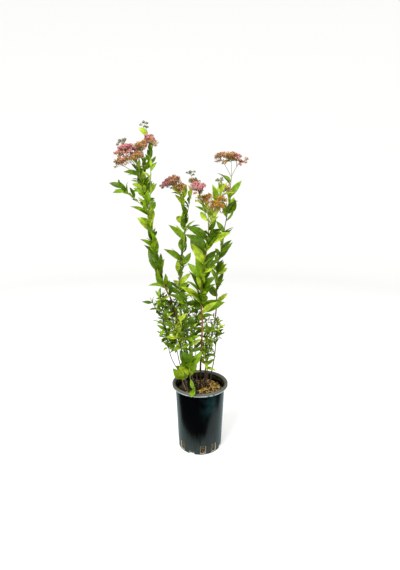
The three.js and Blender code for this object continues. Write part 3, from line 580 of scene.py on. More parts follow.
def leaf_beads(leaf):
    """Even places along a leaf's two straight halves, as wide as the leaf there."""
    bend = math.radians(ARCH)
    rise = leaf.direction * math.cos(bend) + leaf.face * math.sin(bend)
    fall = leaf.direction * math.cos(bend) - leaf.face * math.sin(bend)
    middle = leaf.root + rise * WIDE_AT * leaf.long
    tip = middle + fall * (1 - WIDE_AT) * leaf.long
    count = math.ceil(leaf.long / BEAD)
    share = (np.arange(count) + 1) / count
    places = [np.interp(share, (0, WIDE_AT, 1), (leaf.root[i], middle[i], tip[i]))
              for i in range(3)]
    wide = np.interp(share, (0, WIDE_AT, 1), (0, 1, 0)) * leaf.wide * BEAD_WIDE
    return np.column_stack([*places, np.maximum(BEAD_LEAST, wide)])


def twigs_of(shoot, seed, count, rule=TWIG):
    """A mass's seeded twigs: each leaves the stem at an even place, turned on from the
    last by the leaf angle, opens, and turns upwards. A side twig is the shorter the
    nearer it is to the stem's tip; a fine one has a length that is dealt."""
    fine = rule is FINE_TWIG
    roll = dice(seed)
    first = 360 * next(roll)
    for i in range(count):
        way = math.radians(first + i * TURN)
        opens = rule["opens"] + rule["more"] * next(roll)
        length = dealt(rule["long"], roll) if fine else 0
        share = rule["start"] + rule["over"] * (i + next(roll)) / count
        right, back = ([math.degrees(math.atan(math.tan(math.radians(lean)) * part))
                        for lean in (opens, opens * rule["rise"])]
                       for part in (math.cos(way), math.sin(way)))
        if fine:
            name, thick = f"{shoot.name}_fine_{i + 1}", rule["thick"]
            leaves = FINE_LEAVES._replace(seed=seed * 100 + i)
        else:
            name, thick = f"{shoot.name}_twig_{i + 1}", (shoot.thick[1], TWIG_TIP)
            leaves = shoot.leaves._replace(seed=shoot.leaves.seed * 10 + i)
            length = shoot.length * (rule["long"] - rule["less"] * share)
        yield make_shoot(name, Plan(shoot.name, right, back, length, thick, at=share,
                                    fused=True, leaves=leaves))


def leaves_of(shoot, rule):
    """The leaves of one shoot by a rule, from the first to the last."""
    roll = dice(rule.seed)

    def swing():
        return 2 * next(roll) - 1

    turn = 360 * next(roll)
    place = rule.first
    while place < min(shoot.length - LEAF_END, rule.until):
        shown = place >= rule.above
        share = place / shoot.length
        stem = heading(shoot, share)
        right, back = across(stem)
        way = math.radians(turn + SWING["turn"] * swing())
        spread = math.radians(rule.spread + SWING["spread"] * swing())
        outward = right * math.cos(way) + back * math.sin(way)
        direction = stem * math.cos(spread) + outward * math.sin(spread)
        face = stem * FACE["up"] + LIGHT * (FACE["light"] + SWING["light"] * swing())
        face = face + np.array([SWING["right"] * swing(), SWING["back"] * swing(), 0])
        face = unit(face - direction * (face @ direction))
        root = point_at(shoot, share) - outward * LEAF_SUNK * radius_at(shoot, share)
        long = along(rule.long, share) * (1 + SWING["long"] * swing())
        if shown:
            yield Leaf(root, direction, face, long, long * rule.wide, stem, outward, shoot)
        place += rule.gap * (1 + SWING["gap"] * swing())
        turn += TURN


def spray_rule(shoot, seed):
    """The leaf rule that a spray's dice deal for a stretch of a stem."""
    roll = dice(3 * seed)
    start = SPRAY_ENDS[0] + (shoot.length - sum(SPRAY_ENDS)) * next(roll)
    long, gap, wide, spread = (dealt(bounds, roll) for bounds in SPRAY)
    longest = max(shoot.leaves.long)
    return Leaves(seed, start, longest * gap, (longest * long,) * 2, wide,
                  shoot.leaves.spread * spread, until=start + SPRAY_REACH)


def tufts_of(leaf, roll):
    """Two small leaves in the axil of a leaf, between it and the stem."""
    if leaf.long < TUFT["least"] or next(roll) > TUFT["share"]:
        return
    for side in (-1, 1):
        long = leaf.long * dealt(TUFT["long"], roll)
        spread = math.radians(TUFT["spread"] * dealt(TUFT["part"], roll))
        sideways = np.cross(leaf.stem, leaf.outward) * side * dealt(TUFT["side"], roll)
        direction = unit(leaf.stem * math.cos(spread) + leaf.outward * math.sin(spread)
                         + sideways * math.sin(spread))
        face = leaf.face + leaf.outward * dealt(TUFT["out"], roll)
        face = unit(face - direction * (face @ direction))
        yield leaf._replace(direction=direction, face=face, long=long, wide=long * LEAF_RATIO)


def clusters_of(shoot):
    """A flower head's clusters: a golden-angle disc, domed, above the shoot's tip."""
    wide, rise, count = shoot.head
    up = unit(heading(shoot, 1) + np.array([0, 0, 1]))
    right, back = across(up)
    span = CLUSTER_SIZE * wide / math.sqrt(count)
    reach = wide / 2 - span
    for i in range(count):
        out = math.sqrt(i / max(1, count - 1))
        way = math.radians(i * GOLDEN + shoot.length * HEAD_TURN)
        centre = (point_at(shoot, 1) + up * rise * (1 - DOME * out * out)
                  + right * math.cos(way) * out * reach + back * math.sin(way) * out * reach)
        foot = point_at(shoot, 1 - RAY_DROP * out * min(1, rise / shoot.length))
        yield SimpleNamespace(centre=centre, size=span, up=up, foot=foot, shoot=shoot)


def keep_leaves(leaves, room):
    """The leaves that touch neither the pot nor another mass; each takes its room."""
    kept = []
    for leaf in leaves:
        beads = leaf_beads(leaf)
        if near_pot(beads) or room.touches(beads, leaf.shoot.mass):
            continue
        room.take(beads, leaf.shoot.mass)
        kept.append(leaf)
    return kept


@lru_cache
def grow_plant():
    """Grows the plant in the source's order: stems, clusters, leaves. Sprays, finer twigs
    with their leaves and the axils' small leaves come after, in the room that is left."""
    shoots, room = {}, Room()
    for name, plan in SHOOTS.items():
        shoot = shoots[name] = make_shoot(name, plan)
        set_axis(shoot, shoots)
        room.take(stem_beads(shoot), shoot.mass)
        for twig in twigs_of(shoot, *shoot.twigs) if shoot.twigs else ():
            set_axis(twig, shoots)
            beads = stem_beads(twig)
            if not room.touches(beads, twig.mass):
                room.take(beads, twig.mass)
                shoots[twig.name] = twig
    clusters = []
    for shoot in shoots.values():
        for cluster in clusters_of(shoot) if shoot.head else ():
            bead = np.array([[*cluster.centre, cluster.size]])
            if not room.touches(bead, shoot.mass):
                room.take(bead, shoot.mass)
                clusters.append(cluster)
    leaves = []
    for shoot in shoots.values():
        leaves += keep_leaves(leaves_of(shoot, shoot.leaves), room) if shoot.leaves else []
    for name, seeds in SPRAYS.items():
        for seed in seeds:
            leaves += keep_leaves(leaves_of(shoots[name], spray_rule(shoots[name], seed)), room)
    for base in [shoots[name] for name in SHOOTS if name in FINE_TWIGS]:
        for twig in twigs_of(base, *FINE_TWIGS[base.name], FINE_TWIG):
            set_axis(twig, shoots)
            beads = stem_beads(twig)
            if room.touches(beads, twig.mass) or near_pot(beads):
                continue
            room.take(beads, twig.mass)
            shoots[twig.name] = twig
            leaves += keep_leaves(leaves_of(twig, twig.leaves), room)
    roll = dice(TUFT["seed"])
    leaves += keep_leaves([tuft for leaf in leaves for tuft in tufts_of(leaf, roll)], room)
    return SimpleNamespace(shoots=shoots, clusters=clusters, leaves=leaves)


# ------------------------------------------------------------ surfaces
# A surface is its points and a list of face arrays, each of faces with equally many
# corners, which run anticlockwise seen from outside.
def circle(sides):
    """Even angles round a circle."""
    return np.arange(sides) * 2 * np.pi / sides


def ring_faces(rows, sides, tip=False):
    """Faces over rows of rings: quads between the rings, a lid on the first ring, and
    on the last a lid or, with tip, triangles to one more point."""
    i, j = np.meshgrid(np.arange(rows - 1), np.arange(sides), indexing="ij")
    ahead = (j + 1) % sides
    quads = np.stack([i * sides + j, i * sides + ahead,
                      (i + 1) * sides + ahead, (i + 1) * sides + j], axis=-1)
    turn = np.arange(sides)
    last = (rows - 1) * sides
    if tip:
        end = np.stack([last + turn, last + (turn + 1) % sides,
                        np.full(sides, rows * sides)], axis=-1)
    else:
        end = (last + turn)[None]
    return [quads.reshape(-1, 4), turn[None, ::-1], end]


def revolved(radii, heights, sides):
    """Rings of points turned round +Z, one for each radius and height."""
    turn = circle(sides)
    radii, heights = np.asarray(radii)[:, None], np.asarray(heights)[:, None]
    return np.stack([radii * np.cos(turn), radii * np.sin(turn), heights + 0 * turn], axis=-1)


def copies(points, faces):
    """Joins copies of one surface: points has an axis of copies, then one of points."""
    count, each = points.shape[:2]
    shift = (np.arange(count) * each)[:, None, None]
    return points.reshape(-1, 3), [(f[None] + shift).reshape(-1, f.shape[1]) for f in faces]


def join(surfaces):
    """Several surfaces as one."""
    points = np.concatenate([p for p, _ in surfaces])
    shifts = np.cumsum([0] + [len(p) for p, _ in surfaces])
    return points, [f + shift for (_, faces), shift in zip(surfaces, shifts) for f in faces]


def tube(line, radii, sides, tip=False):
    """A ring of points about each point of a line, square to it, at the given radii: one
    for each ring, or one for each point of it. The ends are closed."""
    ways = unit(np.gradient(line, axis=0))
    right, back = across(ways)
    turn = circle(sides)[:, None]
    out = right[:, None] * np.cos(turn) + back[:, None] * np.sin(turn)
    radii = np.broadcast_to(np.reshape(radii, (len(line), -1)), (len(line), sides))
    points = (line[:, None] + out * radii[..., None]).reshape(-1, 3)
    if tip:
        points = np.vstack([points, line[-1] + ways[-1] * radii[-1, 0]])
    return points, ring_faces(len(line), sides, tip)


def square_to(ways):
    """Any two directions square to each way."""
    helper = np.where(np.abs(ways[:, :1]) < 0.9, [1.0, 0, 0], [0, 1.0, 0])
    right = unit(helper - ways * np.sum(helper * ways, axis=-1, keepdims=True))
    return right, np.cross(ways, right)


def rods(starts, ends, thick, thin, sides=3):
    """Straight tapering rods from starts to ends, all at once, with closed ends."""
    right, back = square_to(unit(ends - starts))
    turn = circle(sides)[:, None]
    ring = right[:, None] * np.cos(turn) + back[:, None] * np.sin(turn)
    points = np.concatenate([starts[:, None] + ring * thick, ends[:, None] + ring * thin], axis=1)
    return copies(points, ring_faces(2, sides))


def planted(shape, places, ways, spans, seed):
    """Copies of one small shape with its +Z turned to each way, at each place, scaled
    to each span and turned round itself by seeded dice."""
    first, second = square_to(ways)
    turn = np.random.default_rng(seed).uniform(0, 2 * np.pi, (len(ways), 1))
    right = first * np.cos(turn) + second * np.sin(turn)
    back = np.cross(ways, right)
    x, y, z = (shape[0][None, :, i, None] for i in range(3))
    points = places[:, None] + (x * right[:, None] + y * back[:, None]
                                + z * ways[:, None]) * spans[:, None, None]
    return copies(points, shape[1])


def waves(places, seed, scale, count=6):
    """Smooth seeded noise from -1 to 1: a mean of sine waves, each in a direction and
    with a phase of its own, about scale long."""
    roll = np.random.default_rng(seed)
    ways = unit(roll.normal(size=(count, places.shape[-1])))
    pace = 2 * np.pi / scale * roll.uniform(0.6, 1.7, count)
    return np.mean(np.sin(places @ ways.T * pace + roll.uniform(0, 2 * np.pi, count)), axis=-1)


def new_object(name, mesh, finishes=()):
    """An object for a mesh, at the origin."""
    for finish in finishes:
        mesh.materials.append(finish)
    made = bpy.data.objects.new(name, mesh)
    bpy.context.scene.collection.objects.link(made)
    return made


def make_piece(name, surface, finishes, stands_for=(), sharp=None):
    """Puts a surface in millimetres into a mesh object in metres, rides it on the
    object and hides the nodes that it stands for. Edges over sharp degrees stay crisp."""
    points, faces = surface
    sizes = np.concatenate([np.full(len(f), f.shape[1]) for f in faces])
    corners = np.concatenate([f.ravel() for f in faces])
    mesh = bpy.data.meshes.new(name)
    mesh.vertices.add(len(points))
    mesh.vertices.foreach_set("co", (points * MM).ravel().astype(np.float32))
    mesh.loops.add(len(corners))
    mesh.loops.foreach_set("vertex_index", corners.astype(np.int32))
    mesh.polygons.add(len(sizes))
    starts = np.concatenate([[0], np.cumsum(sizes)[:-1]])
    mesh.polygons.foreach_set("loop_start", starts.astype(np.int32))
    mesh.update(calc_edges=True)
    mesh.validate()
    mesh.shade_smooth()
    if sharp:
        mesh.set_sharp_from_angle(angle=math.radians(sharp))
    piece = new_object(name, mesh, finishes)
    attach(piece, "root")
    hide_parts(*stands_for)
    return piece


# ------------------------------------------------------------ finishes
# Grain sizes and depths are in millimetres, heights and places in metres.
def node(tree, kind, inputs=(), out=None, **settings):
    """Adds a shader node with its settings. inputs sets or links sockets, by name or, in
    a tuple, in order. Gives the output named out, or the first one in use."""
    made = tree.nodes.new(f"ShaderNode{kind}")
    for key, value in settings.items():
        setattr(made, key, value)
    if isinstance(inputs, dict):
        sockets = [(made.inputs[key], value) for key, value in inputs.items()]
    else:
        sockets = zip((socket for socket in made.inputs if socket.enabled), inputs)
    for socket, value in sockets:
        if isinstance(value, bpy.types.NodeSocket):
            tree.links.new(value, socket)
        else:
            socket.default_value = value
    if out:
        return made.outputs[out]
    return next((socket for socket in made.outputs if socket.enabled), None)


def new_finish(name):
    """An empty node material, its tree and the place on the object, in metres."""
    finish = bpy.data.materials.new(name)
    finish.use_nodes = True
    finish.node_tree.nodes.clear()
    return finish, finish.node_tree, node(finish.node_tree, "TexCoord", out="Object")


def end_finish(tree, shader, relief=None, strength=1.0, depth=1.0):
    """Closes a finish: its shader with the given sockets, and bumps of a depth where
    relief is high."""
    if relief:
        shader["Normal"] = node(tree, "Bump", {
            "Strength": strength, "Distance": depth * MM, "Height": relief})
    node(tree, "OutputMaterial", {"Surface": node(tree, "BsdfPrincipled", shader)})


def shade(rgb, times=1.0):
    """A colour made lighter or darker."""
    return (*(min(1.0, part * times) for part in rgb), 1)


def grain(tree, place, across_mm, detail=2.0, stretch=(1, 1, 1)):
    """Noise with grains about so many millimetres across, drawn out along the axes."""
    mapped = node(tree, "Mapping", {"Vector": place, "Scale": stretch})
    return node(tree, "TexNoise", {"Vector": mapped, "Scale": 1 / (across_mm * MM),
                                   "Detail": detail})


def mask(tree, *limits):
    """Where something shows: each limit is a value, where it sets in and where it is
    full, and what it gives there if not 0 and 1. The limits are multiplied."""
    shown = None
    for limit in limits:
        part = node(tree, "MapRange", limit, clamp=True)
        shown = part if shown is None else node(tree, "Math", (shown, part),
                                                operation="MULTIPLY")
    return shown


def paint(tree, under, over, *limits):
    """A colour laid over another where the limits say."""
    return node(tree, "Mix", (mask(tree, *limits), under, over), data_type="RGBA")


def moulded_plastic(pot, worn):
    """Black polypropylene, injection moulded: near-black and glossy, with a painted
    blue-green reflection on one side of the upper wall, an olive film inside, and grey with
    dried splashes that run down to the foot. The rim is weathered matt and grey on top, and
    pale glints are painted along its lower edge. The worn finish is the same plastic scuffed pale
    along the slots' edges."""
    finish, tree, place = new_finish("scuffed_polypropylene" if worn else "moulded_polypropylene")
    x, height = (node(tree, "SeparateXYZ", (place,), out=axis) for axis in "XZ")
    flat = node(tree, "VectorMath", (place, (1, 1, 0)), operation="MULTIPLY")
    out = node(tree, "VectorMath", (flat,), operation="LENGTH")
    fleck = grain(tree, place, 2.2, 3)
    top = pot.height
    # Painted reflection: a blue-green patch on the upper wall, a little to +X, laid into the base
    # colour.
    body = paint(tree, shade(pot.shell), shade(pot.painted_reflection), (grain(tree, place, 30), 0.35, 0.6),
                 (x, -0.004, 0.022), (x, 0.046, 0.034), (height, 0.09, 0.15))
    body = paint(tree, body, shade(pot.stain), (out, 0.0656, 0.065),
                 (grain(tree, place, 6, 4), 0.35, 0.6), (height, 0.166, 0.17))
    splashed = mask(tree, (height, pot.dust_height, 0.004, 0, 0.75),
                    (grain(tree, place, 6, 4, (1, 1, 0.09)), 0.3, 0.66),
                    (fleck, 0.3, 0.7, 0.55, 1))
    body = node(tree, "Mix", (splashed, body, shade(pot.dust, 0.55)), data_type="RGBA")
    weathered = mask(tree, (height, top - 0.0052, top - 0.0042), (fleck, 0.25, 0.6, 0.55, 1))
    body = node(tree, "Mix", (weathered, body, shade(pot.rim)), data_type="RGBA")
    if worn:
        body = paint(tree, body, shade(pot.scuff), (fleck, 0.3, 0.55, 0.3, 1))
    # Painted glints: pale streaks along the lower part of the rim's outer band, laid into the base
    # colour where a lamp would catch it.
    body = paint(tree, body, shade(pot.painted_glint), (height, top - 0.0085, top - 0.0078),
                 (height, top - 0.0044, top - 0.0056), (out, 0.07, 0.072),
                 (grain(tree, place, 22, 1), 0.45, 0.53))
    rough = node(tree, "Math", (mask(tree, (splashed, 0, 0.6, 0.22, 0.66)),
                                mask(tree, (weathered, 0, 1, 0, 0.14))), operation="ADD")
    end_finish(tree, {"Base Color": body, "Roughness": rough, "IOR": 1.49,
                      "Specular IOR Level": 0.5}, fleck, 0.25, 0.3)
    return finish


def crumbled(name, tint, upper, rise, grain_mm, rough, depth=0.4, stretch=(1, 1, 1)):
    """A rough natural surface: darker and lighter by its grain, with matching bumps, and
    changing from one colour to the upper one over a range of heights, rise."""
    finish, tree, place = new_finish(name)
    grains = grain(tree, place, grain_mm, 4, stretch)
    height = node(tree, "SeparateXYZ", (place,), out="Z")
    hollows, ridges = (paint(tree, shade(tint, times), shade(upper, times), (height, *rise))
                       for times in (0.55, 1.3))
    end_finish(tree, {
        "Base Color": paint(tree, hollows, ridges, (grains, 0.35, 0.65)),
        "Roughness": mask(tree, (grains, 0.3, 0.7, rough - 0.1, rough)), "IOR": 1.45},
        grains, 0.6, depth)
    return finish


def bark(name, look, key, rise):
    """Spirea bark: thin, fibrous and peeling lengthwise, light on its ridges, and paler
    where it ripens higher up. Its fibres are drawn coarser than the real ones, to show."""
    tint = getattr(look, key)
    return crumbled(f"{name}_bark", tint, getattr(look, f"{key}_high", tint), rise, 1.6, 0.7,
                    0.5, (1, 1, 0.16))


def potting_mix(soil):
    """Damp peat and composted bark: dark crumbs, with thin moss on top and pale root
    ends down the sides."""
    finish, tree, place = new_finish("damp_potting_mix")
    crumbs = grain(tree, place, 3.5, 5)
    height = node(tree, "SeparateXYZ", (place,), out="Z")
    near_top = mask(tree, (height, SOIL_HIGH.z - 0.012, SOIL_HIGH.z - 0.004))
    earth = paint(tree, shade(soil.mix, 0.6), shade(soil.mix, 1.9), (crumbs, 0.35, 0.7))
    earth = paint(tree, earth, shade(soil.roots), (near_top, 1, 0),
                  (grain(tree, place, 1.8, 3, (1, 1, 0.5)), 0.48, 0.6))
    earth = paint(tree, earth, shade(soil.moss), (near_top, 0, 1), (crumbs, 0.4, 0.6),
                  (grain(tree, place, 18), 0.5, 0.62))
    end_finish(tree, {"Base Color": earth, "Roughness": 0.85, "IOR": 1.45}, crumbs, 0.9, 2)
    return finish


def leaf_cuticle(name, tint):
    """A spirea leaf's waxy upper skin: satin, a shade lighter and darker between the
    veins, whose quilting catches the light."""
    finish, tree, place = new_finish(name)
    quilt = grain(tree, place, 2.4, 1)
    end_finish(tree, {
        "Base Color": paint(tree, shade(tint, 0.7), shade(tint, 1.26),
                            (grain(tree, place, 9), 0.35, 0.65)),
        "Roughness": mask(tree, (quilt, 0.35, 0.65, 0.38, 0.54)), "IOR": 1.45,
        "Specular IOR Level": 0.26}, quilt, 0.35, 0.4)
    return finish


def petal_skin(name, tint, rough=0.7):
    """Petals and dried flower parts: matt, with a velvety edge and small darker spots."""
    finish, tree, place = new_finish(name)
    end_finish(tree, {
        "Base Color": paint(tree, shade(tint, 0.6), shade(tint, 1.25),
                            (grain(tree, place, 4, 3), 0.35, 0.65)),
        "Roughness": rough, "Sheen Weight": 0.25, "IOR": 1.45})
    return finish


# ------------------------------------------------------------ pot and potting mix
FOOT_RADIUS = 58.6             # outside of the wall at the underside
NECK_RADIUS = 66.5             # outside of the wall just under the rim
MOUTH_RADIUS = 67.5            # inner edge of the rim, below its rounding
RIM_DEPTH = 8
RIM_WALL = (4.7, 3.7)          # from the rim's outside to the rounded wall's two faces
WALL = 2
FLOOR = 3
EDGE = 1.4                     # rounding of the rim's lower edge
ROLL = 2.2                     # rounding of the rim's top
BAND_EDGE = 0.4                # from the roundings to the flat middle of the rim's band
WALL_ROWS = (60, 95, 130)
SLOTS = 12
SLOT_START = -52               # degrees from the front to the first slot
COLUMNS_EACH = 11              # columns of the wall from slot to slot
SLOT_COLUMNS = 5               # of which a slot takes these
TALL_SLOT = (4, 25)
LOW_SLOT = 8                   # top of a low slot, a notch in the foot
LOW_SLOT_DEEP = 3              # how far it cuts into the floor
LABEL_HOLE = (165, 170.5)
LABEL_COLUMN = 46
REVEAL_TOP = 30                # the slots' cut edges are all below this
SHOULDER = 3                   # rounding of the mix's top edge
HUMPS = ((5, 22, 2.08), (6, 7, 1.28))   # the mix's waves: seed, length and height
CHIP_GAP = 3                   # from the chips to the wall


def pot_outer(z):
    """The wall's outside: a straight taper from the foot to the neck."""
    return FOOT_RADIUS + (NECK_RADIUS - FOOT_RADIUS) * z / (RIM_TOP - RIM_DEPTH)


def pot_inner(z):
    return pot_outer(z) - WALL


def pot_skin(pot):
    """The pot as cells on a grid of columns round it, heights and layers outwards. Each
    face between a filled cell and an empty one belongs to the skin."""
    top = pot.height / MM
    neck = top - pot.rim_depth / MM
    rim = pot.rim_radius / MM
    arc = np.radians([0, 30, 60, 90])
    heights = np.unique(np.round(np.concatenate([
        [0, FLOOR, *TALL_SLOT, LOW_SLOT, *WALL_ROWS, *LABEL_HOLE,
         neck + EDGE + BAND_EDGE, top - ROLL - BAND_EDGE],
        neck + EDGE * (1 - np.cos(arc)), top - ROLL * (1 - np.sin(arc))]), 4))
    wall_in = np.interp(heights, [0, neck - EDGE, top - EDGE, top],
                        [pot_inner(0), pot_inner(neck - EDGE), MOUTH_RADIUS, rim - RIM_WALL[0]])
    wall_out = np.interp(heights, [0, neck, top], [FOOT_RADIUS, NECK_RADIUS, rim - RIM_WALL[1]])
    low_arc = np.sqrt(np.clip(1 - ((neck + EDGE - heights) / EDGE) ** 2, 0, 1))
    top_arc = np.sqrt(np.clip(1 - ((heights - top + ROLL) / ROLL) ** 2, 0, 1))
    rim_out = rim - np.where(heights < neck + EDGE, EDGE * (1 - low_arc), 0)
    rim_out -= np.where(heights > top - ROLL, ROLL * (1 - top_arc), 0)
    layers = np.stack([0 * heights, 0 * heights + pot_inner(0) - LOW_SLOT_DEEP,
                       wall_in, wall_out, rim_out])
    columns = SLOTS * COLUMNS_EACH
    low, high = heights[:-1], heights[1:]
    filled = np.zeros((columns, len(low), 4), bool)
    filled[:, high <= FLOOR, :2] = True
    filled[:, :, 2] = True
    filled[:, low > neck - GAP, 3] = True
    tall = (low >= TALL_SLOT[0]) & (high <= TALL_SLOT[1])
    for slot in range(SLOTS):
        column = slot * COLUMNS_EACH
        cut = filled[column:column + SLOT_COLUMNS]
        if slot % 3 == 1:
            cut[:, high <= LOW_SLOT, 1:3] = False
        else:
            cut[:, tall, 2] = False
    filled[LABEL_COLUMN, (low >= LABEL_HOLE[0]) & (high <= LABEL_HOLE[1]), 2] = False

    turn = np.radians(SLOT_START + (np.arange(columns) - SLOT_COLUMNS / 2)
                      * 360 / columns)
    out = layers.T[None]
    points = np.stack([np.sin(turn)[:, None, None] * out, -np.cos(turn)[:, None, None] * out,
                       np.broadcast_to(heights[None, :, None], (columns, *out.shape[1:]))], axis=-1)

    def corner(j, k, l):
        """A grid point's number; the points on the axis are one for each height."""
        return (np.where(l == 0, 0, j % columns) * len(heights) + k) * len(layers) + l

    full = np.pad(filled, ((0, 0), (1, 1), (1, 1)))
    pairs = ((full, np.roll(full, -1, 0)), (full[:, :-1], full[:, 1:]),
             (full[:, :, :-1], full[:, :, 1:]))
    faces, cuts = [], []
    for axis, (before, after) in enumerate(pairs):
        for way, found in ((1, before & ~after), (-1, ~before & after)):
            j, k, l = np.nonzero(found)
            if axis == 2:          # no face lies on the axis itself
                j, k, l = j[l > 0], k[l > 0], l[l > 0]
            # A face's corners, where padding moved the heights and layers up by one.
            if axis == 0:
                face = [corner(j + 1, k - 1 + a, l - 1 + b)
                        for a, b in ((0, 0), (1, 0), (1, 1), (0, 1))]
            elif axis == 1:
                face = [corner(j + a, k, l - 1 + b) for a, b in ((0, 0), (0, 1), (1, 1), (1, 0))]
            else:
                face = [corner(j + a, k - 1 + b, l) for a, b in ((0, 0), (1, 0), (1, 1), (0, 1))]
            face = np.stack(face[::way], axis=-1)
            faces.append(face)
            height = points.reshape(-1, 3)[face, 2].mean(1)
            cuts.append((axis < 2) & (height < REVEAL_TOP) & (height > 0.1) & (l - 1 == 2)
                        | (axis == 0) & (height < REVEAL_TOP))
    faces, cuts = np.concatenate(faces), np.concatenate(cuts)
    at_pole = (faces[:, 0] == faces[:, 3]) | (faces[:, 0] == faces[:, 1])
    wedges = np.array([list(dict.fromkeys(face)) for face in faces[at_pole]])
    used, renumbered = np.unique(np.concatenate([faces[~at_pole].ravel(), wedges.ravel()]),
                                 return_inverse=True)
    count = 4 * np.sum(~at_pole)
    faces = [renumbered[:count].reshape(-1, 4), renumbered[count:].reshape(-1, 3)]
    return (points.reshape(-1, 3)[used], faces), np.concatenate([cuts[~at_pole], cuts[at_pole]])


def soil_bed(sides=120, rows=30):
    """A drum turned round the axis, from its underside up the wall and in over its top,
    which falls off at its edge by the eighth power and which seeded waves make uneven."""
    low, edge = SOIL_LOW.z / MM, SOIL_TOP - SHOULDER
    inward = np.linspace(1, 0.02, rows)
    radii = np.concatenate([[2, pot_inner(low) - GAP], (pot_inner(edge) - GAP) * inward])
    heights = np.concatenate([[low, low], edge + SHOULDER * (1 - inward ** 8)])
    points = revolved(radii, heights, sides)
    points[3:, :, 2] += sum(high * waves(points[3:, :, :2], seed, long)
                            for seed, long, high in HUMPS)
    return points.reshape(-1, 3), ring_faces(len(radii), sides)


def bark_chips(count, length, narrow, side, seed):
    """Flat six-sided chips of bark, each stretched, turned and tipped by seeded dice, on
    the top of the mix and clear of the wall. narrow is a chip's least and greatest width
    to its length; side draws them towards +X, or where it is negative towards -X."""
    roll = np.random.default_rng(seed)
    around = np.tile(circle(6), 2)
    flat = np.stack([np.cos(around), np.sin(around), np.repeat([-0.5, 0.5], 6)], axis=-1)
    long = length / 2 * roll.uniform(0.35, 1.4, count)
    spans = np.stack([long, long * roll.uniform(*narrow, count),
                      roll.uniform(0.8, 2.4, count)], axis=-1)
    x, y, z = np.moveaxis(flat * spans[:, None] * roll.uniform(0.55, 1.15, (count, 12, 1)), 2, 0)
    turn, tip = roll.uniform(0, 2 * np.pi, (count, 1)), roll.normal(0, 0.6, (count, 1))
    y, z = y * np.cos(tip) - z * np.sin(tip), y * np.sin(tip) + z * np.cos(tip)
    points = np.stack([x * np.cos(turn) - y * np.sin(turn),
                       x * np.sin(turn) + y * np.cos(turn), z], axis=-1)
    out = (pot_inner(SOIL_TOP) - CHIP_GAP - long) * np.sqrt(roll.uniform(0, 1, count))
    way = roll.uniform(0, 2 * np.pi, count)
    way = np.where(np.cos(way) * side < -roll.uniform(0, 1, count), np.pi - way, way)
    rest = np.stack([out * np.cos(way), out * np.sin(way),
                     SOIL_TOP + roll.uniform(0.2, 2.2, count)], axis=-1)
    return copies(points + rest[:, None], ring_faces(2, 6))


# ------------------------------------------------------------ stems
BARK_GROUPS = {
    "maroon": ("cane_left", "cane_middle"),
    "rust": ("cane_front",),
    "rose": ("cane_right", "cane_far", "twig_right_front", "twig_right_back"),
    "ash": ("twig_low_left", "twig_low_side", "twig_low_front", "twig_low_mid",
            "twig_low_inner", "twig_low_back"),
}
RIPE_STEMS = ("left_leaves", "front_leaves")
TAN_STEMS = ("right_leaves", "right_flowers")
ASH_STEMS = ("low", "right_front", "right_back", "far")
STEM_TINTS = ("ripe", "ash", "green", "tan", "straw")
CANE_RISE = (0.2, 0.36)        # heights between which a cane's bark turns paler
STEM_RISE = (0.4, 0.62)
STALK_RISE = (0.2, 0.5)
STEM_SUNK = (4, 1.2)           # how deep a stem starts in the mix and in what carries it
BARK_RING = 2.4                # spacing of the bark's rings
BARK_SIDES = 14
BARK_GRAIN = (3, 0.16)         # the ridges' grain: its radius, and its pace along the stem
BARK_WAVE = 2.4                # length of the ridges' waves in that grain
BARK_SWING = 1.6               # lifts the waves, whose mean seldom comes near 1
NODE_GAP = 24                  # from one old leaf scar to the next
NODE_SWELL = (0.13, 2.2)       # how much a scar widens the stem, and over what length
LEAFY_RING = 5


def stem_line(shoot, shoots, spacing):
    """Even places along a shoot, from inside what carries it to its tip."""
    shares = np.linspace(0, 1, max(3, math.ceil(shoot.length / spacing)) + 1)
    line = point_at(shoot, shares)
    if shoot.foot:
        start = line[0] - np.array([0, 0, STEM_SUNK[0]])
    else:
        start = point_at(shoots[shoot.start], shoot.at)
        if np.linalg.norm(start - line[0]) < 1:
            start = line[0] - heading(shoot, 0) * STEM_SUNK[1]
    return np.vstack([start, line]), np.concatenate([[0], shares])


def bark_tube(shoot, shoots, ridge, seed):
    """A limb's bark: its tapering tube with long shallow ridges, and a swelling at each
    old leaf scar that falls off as exp(-x^2)."""
    line, shares = stem_line(shoot, shoots, BARK_RING)
    place = shares[:, None] * shoot.length
    turn = circle(BARK_SIDES)
    grains = np.stack(np.broadcast_arrays(
        np.cos(turn) * BARK_GRAIN[0], np.sin(turn) * BARK_GRAIN[0], place * BARK_GRAIN[1]), axis=-1)
    scars = np.arange(NODE_GAP / 2, shoot.length, NODE_GAP)
    swell = np.exp(-((place - scars) / NODE_SWELL[1]) ** 2).sum(1)[:, None]
    radii = radius_at(shoot, shares)[:, None] * (1 + NODE_SWELL[0] * swell)
    return tube(line, radii + ridge * BARK_SWING * waves(grains, seed, BARK_WAVE, 9), BARK_SIDES)


def leafy_tube(shoot, shoots):
    """A leafy stem: a smooth taper, drawn to a point where nothing follows it."""
    line, shares = stem_line(shoot, shoots, LEAFY_RING)
    return tube(line, radius_at(shoot, shares), 8 if shoot.thick[0] > 1.5 else 5, tip=True)


def stem_tint(shoot):
    if shoot.mass in TAN_STEMS:
        return "tan"
    if shoot.name in RIPE_STEMS:
        return "ripe"
    if shoot.mass.startswith(ASH_STEMS) and "fine" not in shoot.name:
        return "ash"
    return "straw" if shoot.head else "green"


